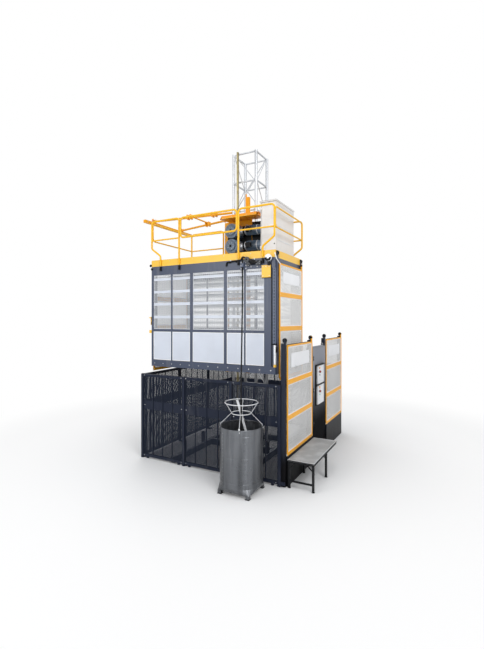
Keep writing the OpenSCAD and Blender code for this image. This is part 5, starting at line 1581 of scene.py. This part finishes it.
@dataclass
class Drive(Assembly):
    """Motors, gearbox covers, canopy gussets, shroud and bolts of the drive.

    Args:
        upper_face: Front of the carrier's upper bars along y.
        lower_face: Front of its lower bars.
    """

    upper_face: float = -0.56
    lower_face: float = -0.53

    def build(self) -> None:
        """Adds the pieces of the drive."""
        self.motors()
        self.gear_covers()
        self.canopy()
        self.carrier()

    def motors(self) -> None:
        """Replaces the motors by finned ones with a flange, fan cowl, brake band and terminal box."""
        form = Form("motors_dressed", MOTOR_BLUE)
        for solid in solids(self.nodes["motors"]):
            r = solid.size.z / 2
            at = (solid.low.x, solid.high.y - r, solid.middle.z)
            self.motor_shells(form, at, r, solid.size.x)
            self.terminal(form, at, r)
            for spot in ring((at[0] + 0.03, at[1], at[2]), r - 0.013, steps(4, math.radians(45)), Axis.X):
                form.bolt(spot, RIGHT, 0.009)
        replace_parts(form.build("cage"), "motors")

    def motor_shells(self, form: Form, at: Point, r: float, length: float) -> None:
        """Adds the turned parts of a motor from its flange to its cowl, and its fins.

        Args:
            form: Piece that takes the motor.
            at: Middle of the flange's face.
            r: Radius of the flange.
            length: Length of the motor.
        """
        sides = 48
        flange = [(0, r), (0.022, r), (0.026, r - 0.006), (0.034, r - 0.03), (0.09, r - 0.034)]
        neck = [(0.088, r - 0.026), (0.092, r - 0.018), (0.15, r - 0.018), (0.154, r - 0.026)]
        band = [(0.152, r - 0.012), (0.155, r - 0.004), (0.178, r - 0.004), (0.181, r - 0.012)]
        form.use(ZINC).turned(at, RIGHT, flange, sides)
        form.use(BLACK_PAINT).turned(at, RIGHT, neck, sides)
        form.use(ZINC).turned(at, RIGHT, band, sides)
        form.use(MOTOR_BLUE).turned(at, RIGHT, [(0.178, r - 0.018), (0.47, r - 0.018)], sides)
        self.fins(form, at, r)
        brake = [(0.464, r - 0.01), (0.467, r - 0.002), (0.484, r - 0.002), (0.487, r - 0.01)]
        cowl = [(0.484, r - 0.008), (length - 0.03, r - 0.008), (length - 0.012, r - 0.014),
                (length - 0.001, r - 0.03)]
        form.use(STRUT_WHITE).turned(at, RIGHT, brake, sides)
        form.use(MOTOR_BLUE).turned(at, RIGHT, cowl, sides)
        grille = (at[0] + length - 0.0012, at[1], at[2])
        for i in range(6):
            rim = r - 0.034 - i * 0.015
            form.use(BLACK_PAINT).turned(grille, RIGHT, [(0, rim), (0.0012, rim)], 36)
            form.use(MOTOR_BLUE).turned(grille, RIGHT, [(0.0012, rim - 0.0075), (0.0018, rim - 0.0075)], 36)

    @staticmethod
    def fins(form: Form, at: Point, r: float) -> None:
        """Adds the long fins round a motor's body.

        Args:
            form: Piece that takes them.
            at: Middle of the motor's flange.
            r: Radius of the flange.
        """
        count, half = 44, 0.0018
        for angle in steps(count, math.pi / count):
            way = Vector((0, math.cos(angle), math.sin(angle)))
            cross = Vector(RIGHT).cross(way) * half
            corners = []
            for x in (at[0] + 0.184, at[0] + 0.466):
                for reach in (r - 0.02, r - 0.0005):
                    spot = Vector((x, at[1], at[2])) + way * reach
                    corners += [spot + cross, spot - cross]
            form.add(corners, BLOCK)

    @staticmethod
    def terminal(form: Form, at: Point, r: float) -> None:
        """Adds the terminal box, its lid screws and its cable gland.

        Args:
            form: Piece that takes them.
            at: Middle of the motor's flange.
            r: Radius of the flange.
        """
        x, y, z = at[0], at[1] - r, at[2]
        lid = y - 0.034
        form.use(BLACK_PAINT).box((x + 0.2, lid, z - 0.058), (x + 0.34, y + 0.03, z + 0.058), 0.006)
        form.box((x + 0.196, lid - 0.01, z - 0.06), (x + 0.344, lid, z + 0.06), 0.004)
        form.use(BOLT_ZINC)
        for dx in (0.208, 0.332):
            for dz in (-0.048, 0.048):
                form.turned((x + dx, lid - 0.01, z + dz), FRONT, [(-HAIR, 0.005), (0.0025, 0.005)], 8)
        gland = [(0, 0.014), (0.014, 0.014), (0.022, 0.01)]
        form.use(BLACK_PLASTIC).turned((x + 0.24, y - 0.008, z - 0.056), DOWN, gland, 12)

    def gear_covers(self) -> None:
        """Adds the bearing covers, ribs, bolt rings, rims and oil glasses of the gearboxes; the oil glasses
        have a painted glow, though they are no lamps.
        """
        form = Form("gear_covers", MOTOR_BLUE)
        cover = [(0, 0.1), (0.003, 0.1), (0.006, 0.092), (0.006, 0.055), (0.012, 0.05), (0.012, 0.0)]
        cap = [(0, 0.032), (0.003, 0.03), (0.004, 0.01)]
        rim = [(0, 0.1755), (0.004, 0.179), (0.018, 0.179), (0.022, 0.1755)]
        for solid in solids(self.nodes["gearboxes"]):
            x, y, z = solid.low.x + 0.176, solid.low.y, solid.middle.z
            form.use(MOTOR_BLUE).turned((x, y + 0.001, z), FRONT, cover, 40)
            form.use(BLACK_PLASTIC).turned((x, y - 0.01, z), FRONT, cap, 30)
            for spot in ring((x, y - 0.005, z), 0.076, steps(8, math.radians(22.5)), Axis.Y):
                form.bolt(spot, FRONT, 0.008)
            form.use(MOTOR_BLUE)
            inner = ring((x, y + 0.0235, z), 0.11, steps(16), Axis.Y)
            outer = ring((x, y + 0.0255, z), 0.138, steps(16), Axis.Y)
            for first, last in zip(inner, outer):
                form.plank(first, last, 0.008, 0.014)
            for back in (0.06, 0.25):
                form.turned((x, y + back, z), REAR, rim, 64)
            # Oil glass in the glowing amber lens finish: a painted glow, as it is no lamp.
            glass = (x - 0.06, y + 0.0285, z + 0.1)
            form.use(AMBER).turned(glass, FRONT, [(0, 0.011), (0.004, 0.01), (0.006, 0.004)], 16)
        form.build("cage")

    def canopy(self) -> None:
        """Adds gussets, bolts and the rolled lip of the canopy."""
        low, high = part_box("drive_canopy")
        z = high[2] - 0.04
        form = Form("canopy_gussets", ORANGE)
        back, front = high[1] - 0.02, low[1] + 0.02
        middle = (back + front) / 2
        for x in (-0.18, 0.02, 0.24, 0.46, 0.68):
            form.plank((x, back, z - 0.006), (x + 0.1, front, z - 0.006), 0.028, 0.012, UP)
        first, last = (low[0] + 0.24, middle, z - 0.005), (high[0] - 0.02, middle, z - 0.005)
        form.plank(first, last, 0.03, 0.01, UP)
        for x in (-0.12, 0.08, 0.28, 0.48, 0.66):
            form.bolt((x, low[1], z - 0.028), FRONT, 0.008)
        y, foot = low[1] + 0.002, low[2] + 0.001
        form.use(ROOF_YELLOW).rod((-0.2, y, foot), (high[0] - 0.012, y, foot), 0.005, 10)
        form.build("cage")

    def carrier(self) -> None:
        """Adds the shroud in front of the carrier, and bolts to its bars and plates."""
        upper, lower = self.upper_face, self.lower_face
        shroud = Form("drive_shroud", BLACK_PAINT)
        shroud.box((-0.36, upper - 0.0045, 4.9), (0.32, upper - 0.0005, 5.6), 0.001)
        shroud.box((0.332, upper, 4.86), (0.76, upper + 0.015, 5.68), 0.004)
        shroud.box((0.332, upper - 0.04, 4.86), (0.76, upper + 0.015, 4.872), 0.002)
        for z in (4.9, 5.64):
            for x in (0.4, 0.7):
                shroud.bolt((x, upper, z), FRONT, 0.008)
        shroud.build("cage")
        form = Form("carrier_bolts", BOLT_ZINC)
        for x in (-0.415, 0.18):
            for z in (4.75, 5.614):
                for dx, dz in product((-0.018, 0.018), repeat=2):
                    form.bolt((x + dx, upper, z + dz), FRONT, 0.008)
            for z in (3.2, 2.75):
                form.bolt((x, lower, z), FRONT, 0.01)
        for z in (6.305, 6.34, 6.375):
            form.bolt((0.155, lower - 0.015, z), FRONT, 0.006)
        form.build("cage")


@dataclass
class Roof(Assembly):
    """Cabinet, lamp, hose, hatch and rail details on the roof of the cage.

    Args:
        beam_face: Front of the roof beam along y.
        hose_line: Line of the hoses in front of the beam.
        door_face: Front of the cabinet's door along y.
        cabinet_side: Side of the cabinet along x.
    """

    beam_face: float = -2.04
    hose_line: float = -2.058
    door_face: float = -1.652
    cabinet_side: float = 1.45

    def build(self) -> None:
        """Adds the pieces of the roof."""
        self.cabinet()
        self.lamp()
        self.hoses()
        self.hatch()
        self.rails()

    def cabinet(self) -> None:
        """Adds the cabinet's lid trim, ribs and bolts, and the lines, locks and hinges of its door."""
        low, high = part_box("roof_cabinet")
        side = self.cabinet_side
        form = Form("cabinet_trim", STRUT_WHITE)
        form.use(BLACK_PAINT)
        form.box((low[0], low[1], high[2] - 0.004), (high[0], high[1], high[2] + 0.0015), 0.001)
        form.use(STRUT_WHITE)
        for z in (4.95, 5.24, 5.53):
            form.box((side, -1.62, z - 0.012), (side + 0.0045, -0.64, z + 0.012), 0.002)
        for z in (4.72, 5.70):
            form.box((side, -1.61, z - 0.016), (side + 0.0045, -0.65, z + 0.016), 0.002)
        for x in (1.092, 1.438):
            for z in (4.7, 5.74):
                form.bolt((x, -0.63, z), REAR, 0.008)
        form.build("cage")
        leaf = Form("cabinet_door_trim", SIGN_WHITE)
        y = self.door_face
        for z in (5.06, 5.4):
            leaf.use(STRUT_WHITE).box((1.128, y - 0.0025, z - 0.003), (1.428, y + 0.001, z + 0.003), 0.001)
        leaf.use(BLACK_PLASTIC)
        leaf.turned((1.41, y - 0.012, 5.22), FRONT, [(0, 0.02), (0.006, 0.02), (0.009, 0.014)], 24)
        for z in (4.86, 5.58):
            leaf.turned((1.41, y, z), FRONT, [(0, 0.013), (0.004, 0.013), (0.006, 0.007)], 20)
        for z in (4.81, 5.63):
            leaf.use(BOLT_ZINC).box((1.108, y - 0.004, z - 0.028), (1.128, y + 0.001, z + 0.028), 0.001)
        for z in (4.70, 5.73):
            leaf.use(STRUT_WHITE).box((1.118, y - 0.002, z), (1.438, y + 0.001, z + 0.01), 0.0008)
        leaf.build("cabinet_door")

    def lamp(self) -> None:
        """Adds the lamp's ring, glass, guard bars and bracket."""
        low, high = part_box("work_lamp")
        x, y, z = (low[0] + high[0]) / 2, low[1], high[2] - 0.07
        rim = [(0, 0.0705), (0.006, 0.071), (0.012, 0.067), (0.014, 0.058), (0.01, 0.054)]
        glass = [(0, 0.054), (0.003, 0.05), (0.008, 0.034), (0.0095, 0.0)]
        form = Form("lamp_face", SIGN_WHITE)
        form.turned((x, y + 0.012, z), FRONT, rim, 48)
        form.use(LAMP_GLASS).turned((x, y + 0.002, z), FRONT, glass, 40)
        form.use(BLACK_PLASTIC)
        lower_half = [math.pi * (1 + i / 20) for i in range(21)]
        for reach in (0.062, 0.047, 0.034):
            form.tube(ring((x, y - 0.004, z), reach, lower_half, Axis.Y), 0.0085, 8)
        form.box((x - 0.028, y + 0.03, z - 0.15), (x + 0.028, self.beam_face, z - 0.076), 0.004)
        form.build("cage")

    def hoses(self) -> None:
        """Adds the fittings along the hoses on the front of the roof beam."""
        form = Form("hose_clips", BLACK_PLASTIC)
        self.hose_ties(form)
        self.hose_branch(form)
        self.hose_plugs(form)
        self.hose_screws(form)
        form.build("cage")

    def hose_ties(self, form: Form) -> None:
        """Adds cable ties, clamps and gland nuts.

        Args:
            form: Piece that takes them.
        """
        tie = [(0, 0.0165), (0.002, 0.019), (0.014, 0.019), (0.016, 0.0165)]
        for x, z in ((0.56, 4.467), (0.70, 4.483), (1.12, 4.457), (1.2, 4.424)):
            form.turned((x - 0.008, self.hose_line, z), (1, 0, -0.02), tie, 20)
        form.use(BOLT_ZINC)
        for x in (0.575, 0.715, 1.135):
            form.box((x - 0.009, self.beam_face - 0.006, 4.488), (x + 0.009, self.beam_face, 4.52), 0.002)
            form.bolt((x, self.beam_face - 0.006, 4.511), FRONT, 0.006)
        form.use(BLACK_PLASTIC)
        for x, z in ((0.48, 4.412), (1.249, 4.424)):
            form.turned((x, self.hose_line, z), DOWN, [(0, 0.017), (0.003, 0.021), (0.02, 0.021)], 8)

    def hose_branch(self, form: Form) -> None:
        """Adds the cast branch where the hoses meet, with its round cover.

        Args:
            form: Piece that takes it.
        """
        x, z = 0.985, 4.492
        cover = [(-0.03, 0.035), (0.0, 0.05), (0.004, 0.058), (0.024, 0.058), (0.028, 0.05), (0.03, 0.02)]
        form.use(GREY_CAST).turned((x, -2.078, z), FRONT, cover, 32)
        form.box((0.955, -2.07, 4.36), (1.02, self.beam_face - 0.0005, 4.47), 0.008)
        form.plank((0.975, -2.075, 4.46), (1.07, -2.075, 4.4), 0.05, 0.03)
        form.use(BLACK_PLASTIC)
        form.turned((x, -2.108, z), FRONT, [(-HAIR, 0.016), (0.006, 0.016), (0.008, 0.01)], 16)

    def hose_plugs(self, form: Form) -> None:
        """Adds the two plugs, the short hose between them and their socket box, with its bolts.

        Args:
            form: Piece that takes them.
        """
        upper = [(0, 0.026), (0.01, 0.032), (0.07, 0.032), (0.075, 0.026), (0.13, 0.024), (0.15, 0.016)]
        lower = [(0, 0.02), (0.01, 0.029), (0.11, 0.029), (0.12, 0.02), (0.16, 0.018)]
        bend = [(1.2, -2.09, 4.43), (1.23, -2.09, 4.445), (1.262, -2.088, 4.448), (1.285, -2.075, 4.44),
                (1.292, self.hose_line, 4.425)]
        form.turned((1.04, -2.098, 4.462), (1, 0, -0.42), upper, 24)
        form.turned((1.06, -2.09, 4.405), (1, 0, 0.12), lower, 20)
        form.tube(bend, 0.016, 10)
        form.use(GREY_CAST).box((1.19, -2.098, 4.372), (1.292, self.beam_face - 0.0005, 4.452), 0.006)
        for x, z in product((1.205, 1.277), (4.386, 4.438)):
            form.bolt((x, -2.098, z), FRONT, 0.006)
        for x in (0.968, 1.007):
            form.bolt((x, -2.07, 4.372), FRONT, 0.006)
        for x in (1.06, 1.2):
            form.bolt((x, self.beam_face, 4.345), FRONT, 0.011)

    def hose_screws(self, form: Form) -> None:
        """Adds the black plate behind the cover plate beside the socket box, whose edges show as the cover's
        painted shadow, and the white screws of the plates.

        Args:
            form: Piece that takes them.
        """
        # Black plate behind the cover plate: painted shadow along its right edge and beneath it.
        form.use(BLACK_PAINT)
        form.box((1.306, self.beam_face - 0.0045, 4.092), (1.516, self.beam_face - 0.0002, 4.35), 0.001)
        form.use(SIGN_WHITE)
        for x, z in ((1.33, 4.14), (1.33, 4.33), (1.4, 4.33), (1.47, 4.14), (1.47, 4.33)):
            form.turned((x, -2.052, z), FRONT, [(-HAIR, 0.009), (0.002, 0.008), (0.003, 0.003)], 12)
        for x, z in product((0.835, 0.945), (4.315, 4.38, 4.445)):
            form.turned((x, self.hose_line, z), FRONT, [(-HAIR, 0.011), (0.003, 0.01), (0.004, 0.003)], 12)

    def hatch(self) -> None:
        """Adds the hatch's hinges and handle."""
        low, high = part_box("roof_hatch")
        y0, z = low[1], high[2]
        form = Form("hatch_trim", ROOF_YELLOW)
        form.use(BOLT_ZINC)
        for x in (low[0] + 0.06, high[0] - 0.16):
            form.box((x, y0 + 0.02, z - 0.003), (x + 0.1, y0 + 0.06, z + 0.003), 0.001)
        middle, y = (low[0] + high[0]) / 2, high[1] - 0.07
        bow = ((-0.06, -0.002), (-0.06, 0.02), (-0.045, 0.032), (0.045, 0.032), (0.06, 0.02), (0.06, -0.002))
        form.use(BLACK_PAINT).tube([(middle + dx, y, z + dz) for dx, dz in bow], 0.006, 10)
        form.build("roof_hatch")

    def rails(self) -> None:
        """Adds bolts on the rails' foot plates."""
        form = Form("rail_clamps", RAIL_YELLOW)
        for solid in solids(self.nodes["guard_rails"]):
            if solid.size.z < 0.02 and 0.04 < solid.size.x < 0.1:
                x, y, z = solid.middle.x, solid.middle.y, solid.high.z
                for dx in (-0.02, 0.02):
                    form.bolt((x + dx, y, z), UP, 0.007)
        if form.points:
            form.build("cage")


@dataclass
class Panel(Assembly):
    """Electrical panel between the landing gates.

    Args:
        louvres: Louvres on each side.
        box_depth: Depth of a control box up to its face.
    """

    louvres: int = 8
    box_depth: float = 0.04

    def build(self) -> None:
        """Adds the details of the door, the control boxes and the housing."""
        self.door()
        self.boxes()
        self.body()

    def door(self) -> None:
        """Adds the boxes' dark carrier and hoods, the hinge blocks and the border of the door."""
        low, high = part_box("panel_door")
        x = high[0]
        form = Form("panel_door_trim", BLACK_PAINT)
        boxes = [solid for solid in solids(self.nodes["control_boxes"]) if solid.size.z > 0.3]
        y0, y1 = boxes[0].low.y, boxes[0].high.y
        foot, top = boxes[0].low.z, boxes[-1].high.z
        form.box((x, y0 - 0.11, foot - 0.02), (x + 0.009, y1 + 0.02, top + 0.03), 0.003)
        for solid in boxes:
            z = solid.high.z
            form.box((x, y0 - 0.115, z + 0.004), (x + 0.06, y1 + 0.045, z + 0.03), 0.004)
        form.box((x + 0.009, y0 - 0.1, foot - 0.01), (x + 0.03, y0 - 0.06, top), 0.003)
        y, screw = low[1] + 0.043, [(-HAIR, 0.007), (0.002, 0.006)]
        for z in (0.86, 1.62, 2.36):
            form.use(BLACK_PLASTIC).box((x, y - 0.013, z - 0.05), (x + 0.012, y + 0.013, z + 0.05), 0.004)
            form.use(BOLT_ZINC).turned((x + 0.012, y, z), RIGHT, screw, 12)
        outline = Solid(Vector(low), Vector((high[0], high[1] - 0.022, high[2])))
        outline_box(form.use(PANEL_PAINT), outline, 0.012, Axis.X, x, 0.002)
        form.build("panel_door", slot="panel_paint")

    def boxes(self) -> None:
        """Adds lamps, buttons, covers and screws to the two control boxes."""
        form = Form("control_details", AMBER)
        for solid in solids(self.nodes["control_boxes"]):
            if solid.size.z > 0.3:
                self.box_face(form, solid.low, solid.high)
        form.build("panel_door")

    def box_face(self, form: Form, low: Vector, high: Vector) -> None:
        """Adds the lamp, button, cover and screws on the face of one control box.

        Args:
            form: Piece that takes them.
            low: Lowest corner of the box.
            high: Highest corner of the box.
        """
        x, y, z = low.x + self.box_depth, low.y + 0.13, high.z - 0.055
        lens = [(0, 0.0202), (0.014, 0.0202), (0.019, 0.015), (0.0212, 0.0)]
        collar = [(-0.001, 0.03), (0.004, 0.03), (0.006, 0.027)]
        button = [(0, 0.0143), (0.009, 0.0143), (0.013, 0.01), (0.0132, 0.0)]
        form.use(BLACK_PLASTIC).turned((x, y, z), RIGHT, [(-0.002, 0.024), (0.003, 0.024)], 28)
        form.use(AMBER).turned((x + 0.001, y, z), RIGHT, lens, 28)
        form.use(BLACK_PLASTIC).turned((x, y, high.z - 0.145), RIGHT, collar, 28)
        form.use(GREEN if low.z < 1.5 else BLACK_PLASTIC)
        form.turned((x + 0.001, y, high.z - 0.225), RIGHT, button, 24)
        form.use(STRUT_WHITE)
        form.box((x - HAIR, y - 0.012, low.z + 0.03), (x + 0.003, y - 0.004, high.z - 0.27), 0.001)
        outline_box(form.use(WHITE_PLASTIC), Solid(low, Vector((x, high.y, high.z))), 0.014, Axis.X, x, 0.003)
        form.use(BLACK_PLASTIC)
        for spot in product((x + 0.003,), (low.y + 0.012, high.y - 0.012), (low.z + 0.012, high.z - 0.012)):
            form.turned(spot, RIGHT, [(-HAIR, 0.006), (0.001, 0.006)], 12)
        form.use(SIGN_WHITE)
        form.box((x, y + 0.05, low.z + 0.05), (x + 0.0022, high.y - 0.04, high.z - 0.05), 0.001)

    def body(self) -> None:
        """Adds louvres, the foot's seam and lifting eyes to the housing."""
        low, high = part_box("electrical_panel")
        form = Form("panel_louvres", PANEL_PAINT)
        back, y0, y1 = low[0], low[1], high[1]
        for i in range(self.louvres):
            z = 2.2 + 0.03 * i
            for y in (y0 - 0.001, y1 + 0.001):
                form.plank((back + 0.02, y, z), (back + 0.11, y, z), 0.012, 0.006)
        form.use(BLACK_PAINT).box((back + 0.004, y0 - 0.001, 0.628), (back + 0.18, y0 + 0.004, 0.644), 0.001)
        x = back + 0.09
        for y in (y0 + 0.1, y1 - 0.1):
            eye = ring((x, y, high[2] + 0.034), 0.028, steps(16), Axis.Y)
            form.use(BOLT_ZINC).tube(eye, 0.006, 8, closed=True)
            form.turned((x, y, high[2] - 0.001), UP, [(0, 0.018), (0.006, 0.018), (0.009, 0.012)], 16)
        form.build("base")


@dataclass
class Ground(Assembly):
    """Bucket, table, base frame, mast and wall tie details.

    Args:
        bucket_radius: Radius of the bucket.
        table_middle: Middle of the step table along x.
        tube_reach: Distance of the mast's tubes from its axis, along x and y.
    """

    bucket_radius: float = 0.41
    table_middle: float = 2.185
    tube_reach: float = 0.29

    def build(self) -> None:
        """Adds all pieces that stand on the ground."""
        self.bucket()
        self.guide()
        self.table()
        self.base()
        self.mast()
        self.tie()

    def bucket(self) -> None:
        """Adds the bucket's rolled rim, hoops, riveted seam and feet."""
        low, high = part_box("cable_bucket")
        middle = Vector(((low[0] + high[0]) / 2, (low[1] + high[1]) / 2, 0))
        r, top, up = self.bucket_radius, high[2], Vector(UP)
        form = Form("bucket_bead", BUCKET_ZINC)
        form.tube(ring(middle + up * (top - 0.004), r - 0.004, steps(72)), 0.0095, 10, closed=True)
        for z in (0.26, 0.72, 1.12):
            form.tube(ring(middle + up * z, r, steps(72)), 0.0042, 8, closed=True)
        seam = math.radians(-118)
        out = Vector((math.cos(seam), math.sin(seam), 0))
        foot = middle + out * r
        form.plank(foot + up * 0.18, foot + up * (top - 0.016), 0.03, 0.005, out)
        for i in range(14):
            rivet = foot + up * (0.24 + 0.07 * i)
            form.use(BOLT_ZINC).turned(rivet, out, [(0, 0.006), (0.0045, 0.005), (0.006, 0.002)], 10)
        for i, j in product((-0.295, 0.295), repeat=2):
            x, y = middle.x + i, middle.y + j
            form.use(BLACK_PAINT).box((x - 0.045, y - 0.045, 0.0), (x + 0.045, y + 0.045, 0.01), 0.003)
            form.use(BOLT_ZINC).turned((x, y, 0.0), up, [(0, 0.028), (0.014, 0.026), (0.02, 0.012)], 6)
        form.build("base")

    def guide(self) -> None:
        """Adds the guide's white lever, the caps of its legs and their bolts on the bucket."""
        middle = Vector((*BUCKET, 0))
        ahead, across = Vector((0.4746, -0.88, 0)), Vector((0.88, 0.4746, 0))
        cap = [(0, 0.012), (0.004, 0.017), (0.026, 0.017), (0.032, 0.01)]
        form = Form("guide_bolts", BOLT_ZINC)
        form.use(SIGN_WHITE).plank((0.924, -2.41, 1.69), (1.1026, -2.248, 0.85), 0.046, 0.007, ahead)
        form.use(BLACK_PLASTIC).turned((0.926, -2.4085, 1.674), ahead, [(-0.012, 0.014), (0.012, 0.014)], 14)
        for way in (-0.325, 0.325):
            form.turned(middle + across * way + Vector((0, 0, 1.664)), UP, cap, 14)
        for solid in solids(self.nodes["bucket_guide"]):
            if solid.size.z > 0.28:
                outer = solid.middle - middle
                outer = Vector((outer.x, outer.y, 0)).normalized()
                spot = middle + outer * 0.414
                form.bolt((spot.x, spot.y, 1.205), outer, 0.009)
                form.bolt((spot.x, spot.y, 1.225), outer, 0.006)
        form.build("base")

    def table(self) -> None:
        """Adds edge trim, foot pads and braces to the step table."""
        low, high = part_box("table_top")
        x, z = high[0], high[2]
        form = Form("table_trim", BLACK_PAINT)
        form.use(STRUT_WHITE)
        for y in (low[1], high[1] - 0.012):
            form.box((low[0], y, z - 0.022), (x, y + 0.012, z + 0.003), 0.002)
        form.box((x - 0.012, low[1] + 0.012, z - 0.022), (x, high[1] - 0.012, z + 0.003), 0.002)
        pad = [(0, 0.031), (0.006, 0.031), (0.012, 0.024)]
        for solid in solids(self.nodes["table_frame"]):
            if solid.size.z > 0.4 and solid.size.x < 0.1 and solid.low.z < 0.01:
                m = solid.middle
                form.use(BLACK_PLASTIC).turned((m.x, m.y, 0.0), UP, pad, 20)
                inward = math.copysign(0.13, self.table_middle - m.x)
                form.use(BLACK_PAINT).plank((m.x, m.y, 0.38), (m.x + inward, m.y, 0.5), 0.022, 0.012)
        form.build("base")

    def base(self) -> None:
        """Adds bright tops and bolts to the base beams inside the enclosure."""
        form = Form("base_tops", ZINC)
        for solid in solids(self.nodes["base_frame"]):
            low, high, size = solid.low, solid.high, solid.size
            if max(size.x, size.y) > 0.6 and size.z < 0.3:
                first = (low.x + 0.004, low.y + 0.004, high.z - 0.001)
                last = (high.x - 0.004, high.y - 0.004, high.z + 0.002)
                form.use(ZINC).box(first, last, 0.001)
                along = 0 if size.x > size.y else 1
                for share in (0.12, 0.5, 0.88):
                    spot = Vector(solid.middle)
                    spot[along] = low[along] + share * size[along]
                    form.bolt((spot.x, spot.y, high.z + 0.002), UP, 0.011)
        form.build("base")

    def mast(self) -> None:
        """Adds bolts at the section joints and along the rack."""
        low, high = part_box("mast_tubes")
        form = Form("mast_bolts", BOLT_ZINC)
        reach = self.tube_reach
        count = round((high[2] - low[2]) / 1.508)
        step = (high[2] - low[2]) / count
        for k in range(1, count):
            z = low[2] + k * step
            for x, y, dz in product((-reach, reach), (-reach, reach), (-0.03, 0.03)):
                spot = (x + math.copysign(0.036, -x), y, z + dz)
                form.turned(spot, (0, 0, math.copysign(1, dz)), [(-0.012, 0.014), (0.012, 0.014)], 6)
        foot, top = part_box("rack")
        x, y = (foot[0] + top[0]) / 2, top[1] - 0.002
        pitch = 0.25
        for i in range(int((top[2] - foot[2]) / pitch)):
            z = foot[2] + 0.12 + pitch * i
            form.turned((x, y, z), REAR, [(0, 0.011), (0.012, 0.011), (0.013, 0.008)], 6)
        form.build("base")

    def tie(self) -> None:
        """Adds bolts and clamps on the wall tie."""
        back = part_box("wall_tie")[0][0]
        foot, top = 6.03, 6.16
        form = Form("tie_nuts", BOLT_ZINC)
        for y, z in product((-0.8, 1.2), (5.992, 6.032)):
            form.bolt((back + 0.08, y, z), RIGHT, 0.011)
        for x, y in ((-1.7, 0.535), (-1.7, -0.375), (-0.95, 0.33), (-0.95, -0.283)):
            for at in (x - 0.05, x + 0.05):
                form.use(TIE_YELLOW).box((at - 0.02, y - 0.062, foot), (at + 0.02, y + 0.062, top), 0.004)
                for dy in (-0.048, 0.048):
                    form.bolt((at, y + dy, top), UP, 0.009)
        form.build("base")


NODE_FINISHES: dict[Finish, tuple[str, ...]] = {
    BASE_PAINT: ("base_frame",),
    RUBBER: ("rubber_buffers",),
    ZINC: ("mast_tubes", "mast_frames"),
    RACK_STEEL: ("rack", "drive_pinion_upper", "drive_pinion_lower"),
    FENCE_PAINT: ("enclosure_frame", "enclosure_band"),
    POST_PAINT: ("gate_posts",),
    PANEL_PAINT: ("electrical_panel", "panel_door"),
    CAGE_PAINT: ("cage_frame", "cage_door_posts"),
    EDGE_PAINT: ("cable_bracket",),
    PALE_PANEL: ("cage_panels",),
    DECK: ("cage_floor", "roof_deck"),
    TABLE_PLATE: ("table_top",),
    BLACK_PAINT: ("table_frame", "power_hoses", "near_door_sheaves", "far_door_sheaves",
                  "landing_gate_1_sheaves", "landing_gate_2_sheaves"),
    ROOF_YELLOW: ("roof_beam", "cage_fittings", "door_handle"),
    RAIL_YELLOW: ("guard_rails",),
    TIE_YELLOW: ("drive_carrier", "wall_tie"),
    HATCH_PLATE: ("roof_hatch",),
    CABINET_WHITE: ("roof_cabinet", "cabinet_door"),
    MOTOR_BLUE: ("gearboxes", "motors"),
    ORANGE: ("drive_canopy",),
    BUCKET_ZINC: ("cable_bucket",),
    STRUT_WHITE: ("bucket_guide",),
    WHITE_PLASTIC: ("control_boxes", "work_lamp"),
    RED_PLASTIC: ("stop_button_upper", "stop_button_lower"),
    WEIGHT_IRON: ("near_door_weights", "far_door_weights",
                  "landing_gate_1_weights", "landing_gate_2_weights"),
    ROLLER_STEEL: ("backup_roller", "guide_rollers_upper", "guide_rollers_lower"),
    GATE_YELLOW: ("near_door", "far_door", "landing_gate_1", "landing_gate_2"),
    PALE_MESH: ("cage_mesh",),
    FENCE_MESH: ("enclosure_mesh",),
    CHAIN_STEEL: ("cage_door_chains", "landing_gate_chains"),
}


def finish_nodes(nodes: dict[str, bpy.types.Object]) -> None:
    """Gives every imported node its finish.

    Args:
        nodes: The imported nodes.
    """
    done = set()
    for finish, names in NODE_FINISHES.items():
        for name in names:
            slots = nodes[name].data.materials
            for i in range(len(slots)):
                slots[i] = finish.material()
            if not slots:
                slots.append(finish.material())
            done.add(name)
    cable = {"trailing_cable", "trailing_cable_coil"}
    LOG.info("nodes without a finish: %s", sorted(set(nodes) - done - cable))


def main() -> None:
    """Builds the scene in order: camera and cable first, then each sub-assembly."""
    logging.basicConfig(level=logging.INFO, format="%(message)s")
    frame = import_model()
    nodes = frame["nodes"]
    studio = Studio()
    studio.aim()
    TrailingCable().build()
    studio.light()
    finish_nodes(nodes)
    for assembly in (
        CageWalls(nodes),
        Enclosure(nodes),
        DoorSet("near_door", "cage", "cage_door_chains", (0.985, 1.68)),
        DoorSet("far_door", "cage", None, (0.985, 1.68), out=-1, plate=False),
        DoorSet("landing_gate_1", "base", "landing_gate_chains", (0.68, 1.38)),
        DoorSet("landing_gate_2", "base", None, (0.68, 1.38)),
        Drive(nodes),
        Roof(nodes),
        Panel(nodes),
        Ground(nodes),
    ):
        LOG.info("building %s", type(assembly).__name__)
        assembly.build()
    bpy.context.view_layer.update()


if __name__ == "__main__":
    main()
    bpy.context.scene.view_settings.view_transform = "Standard"
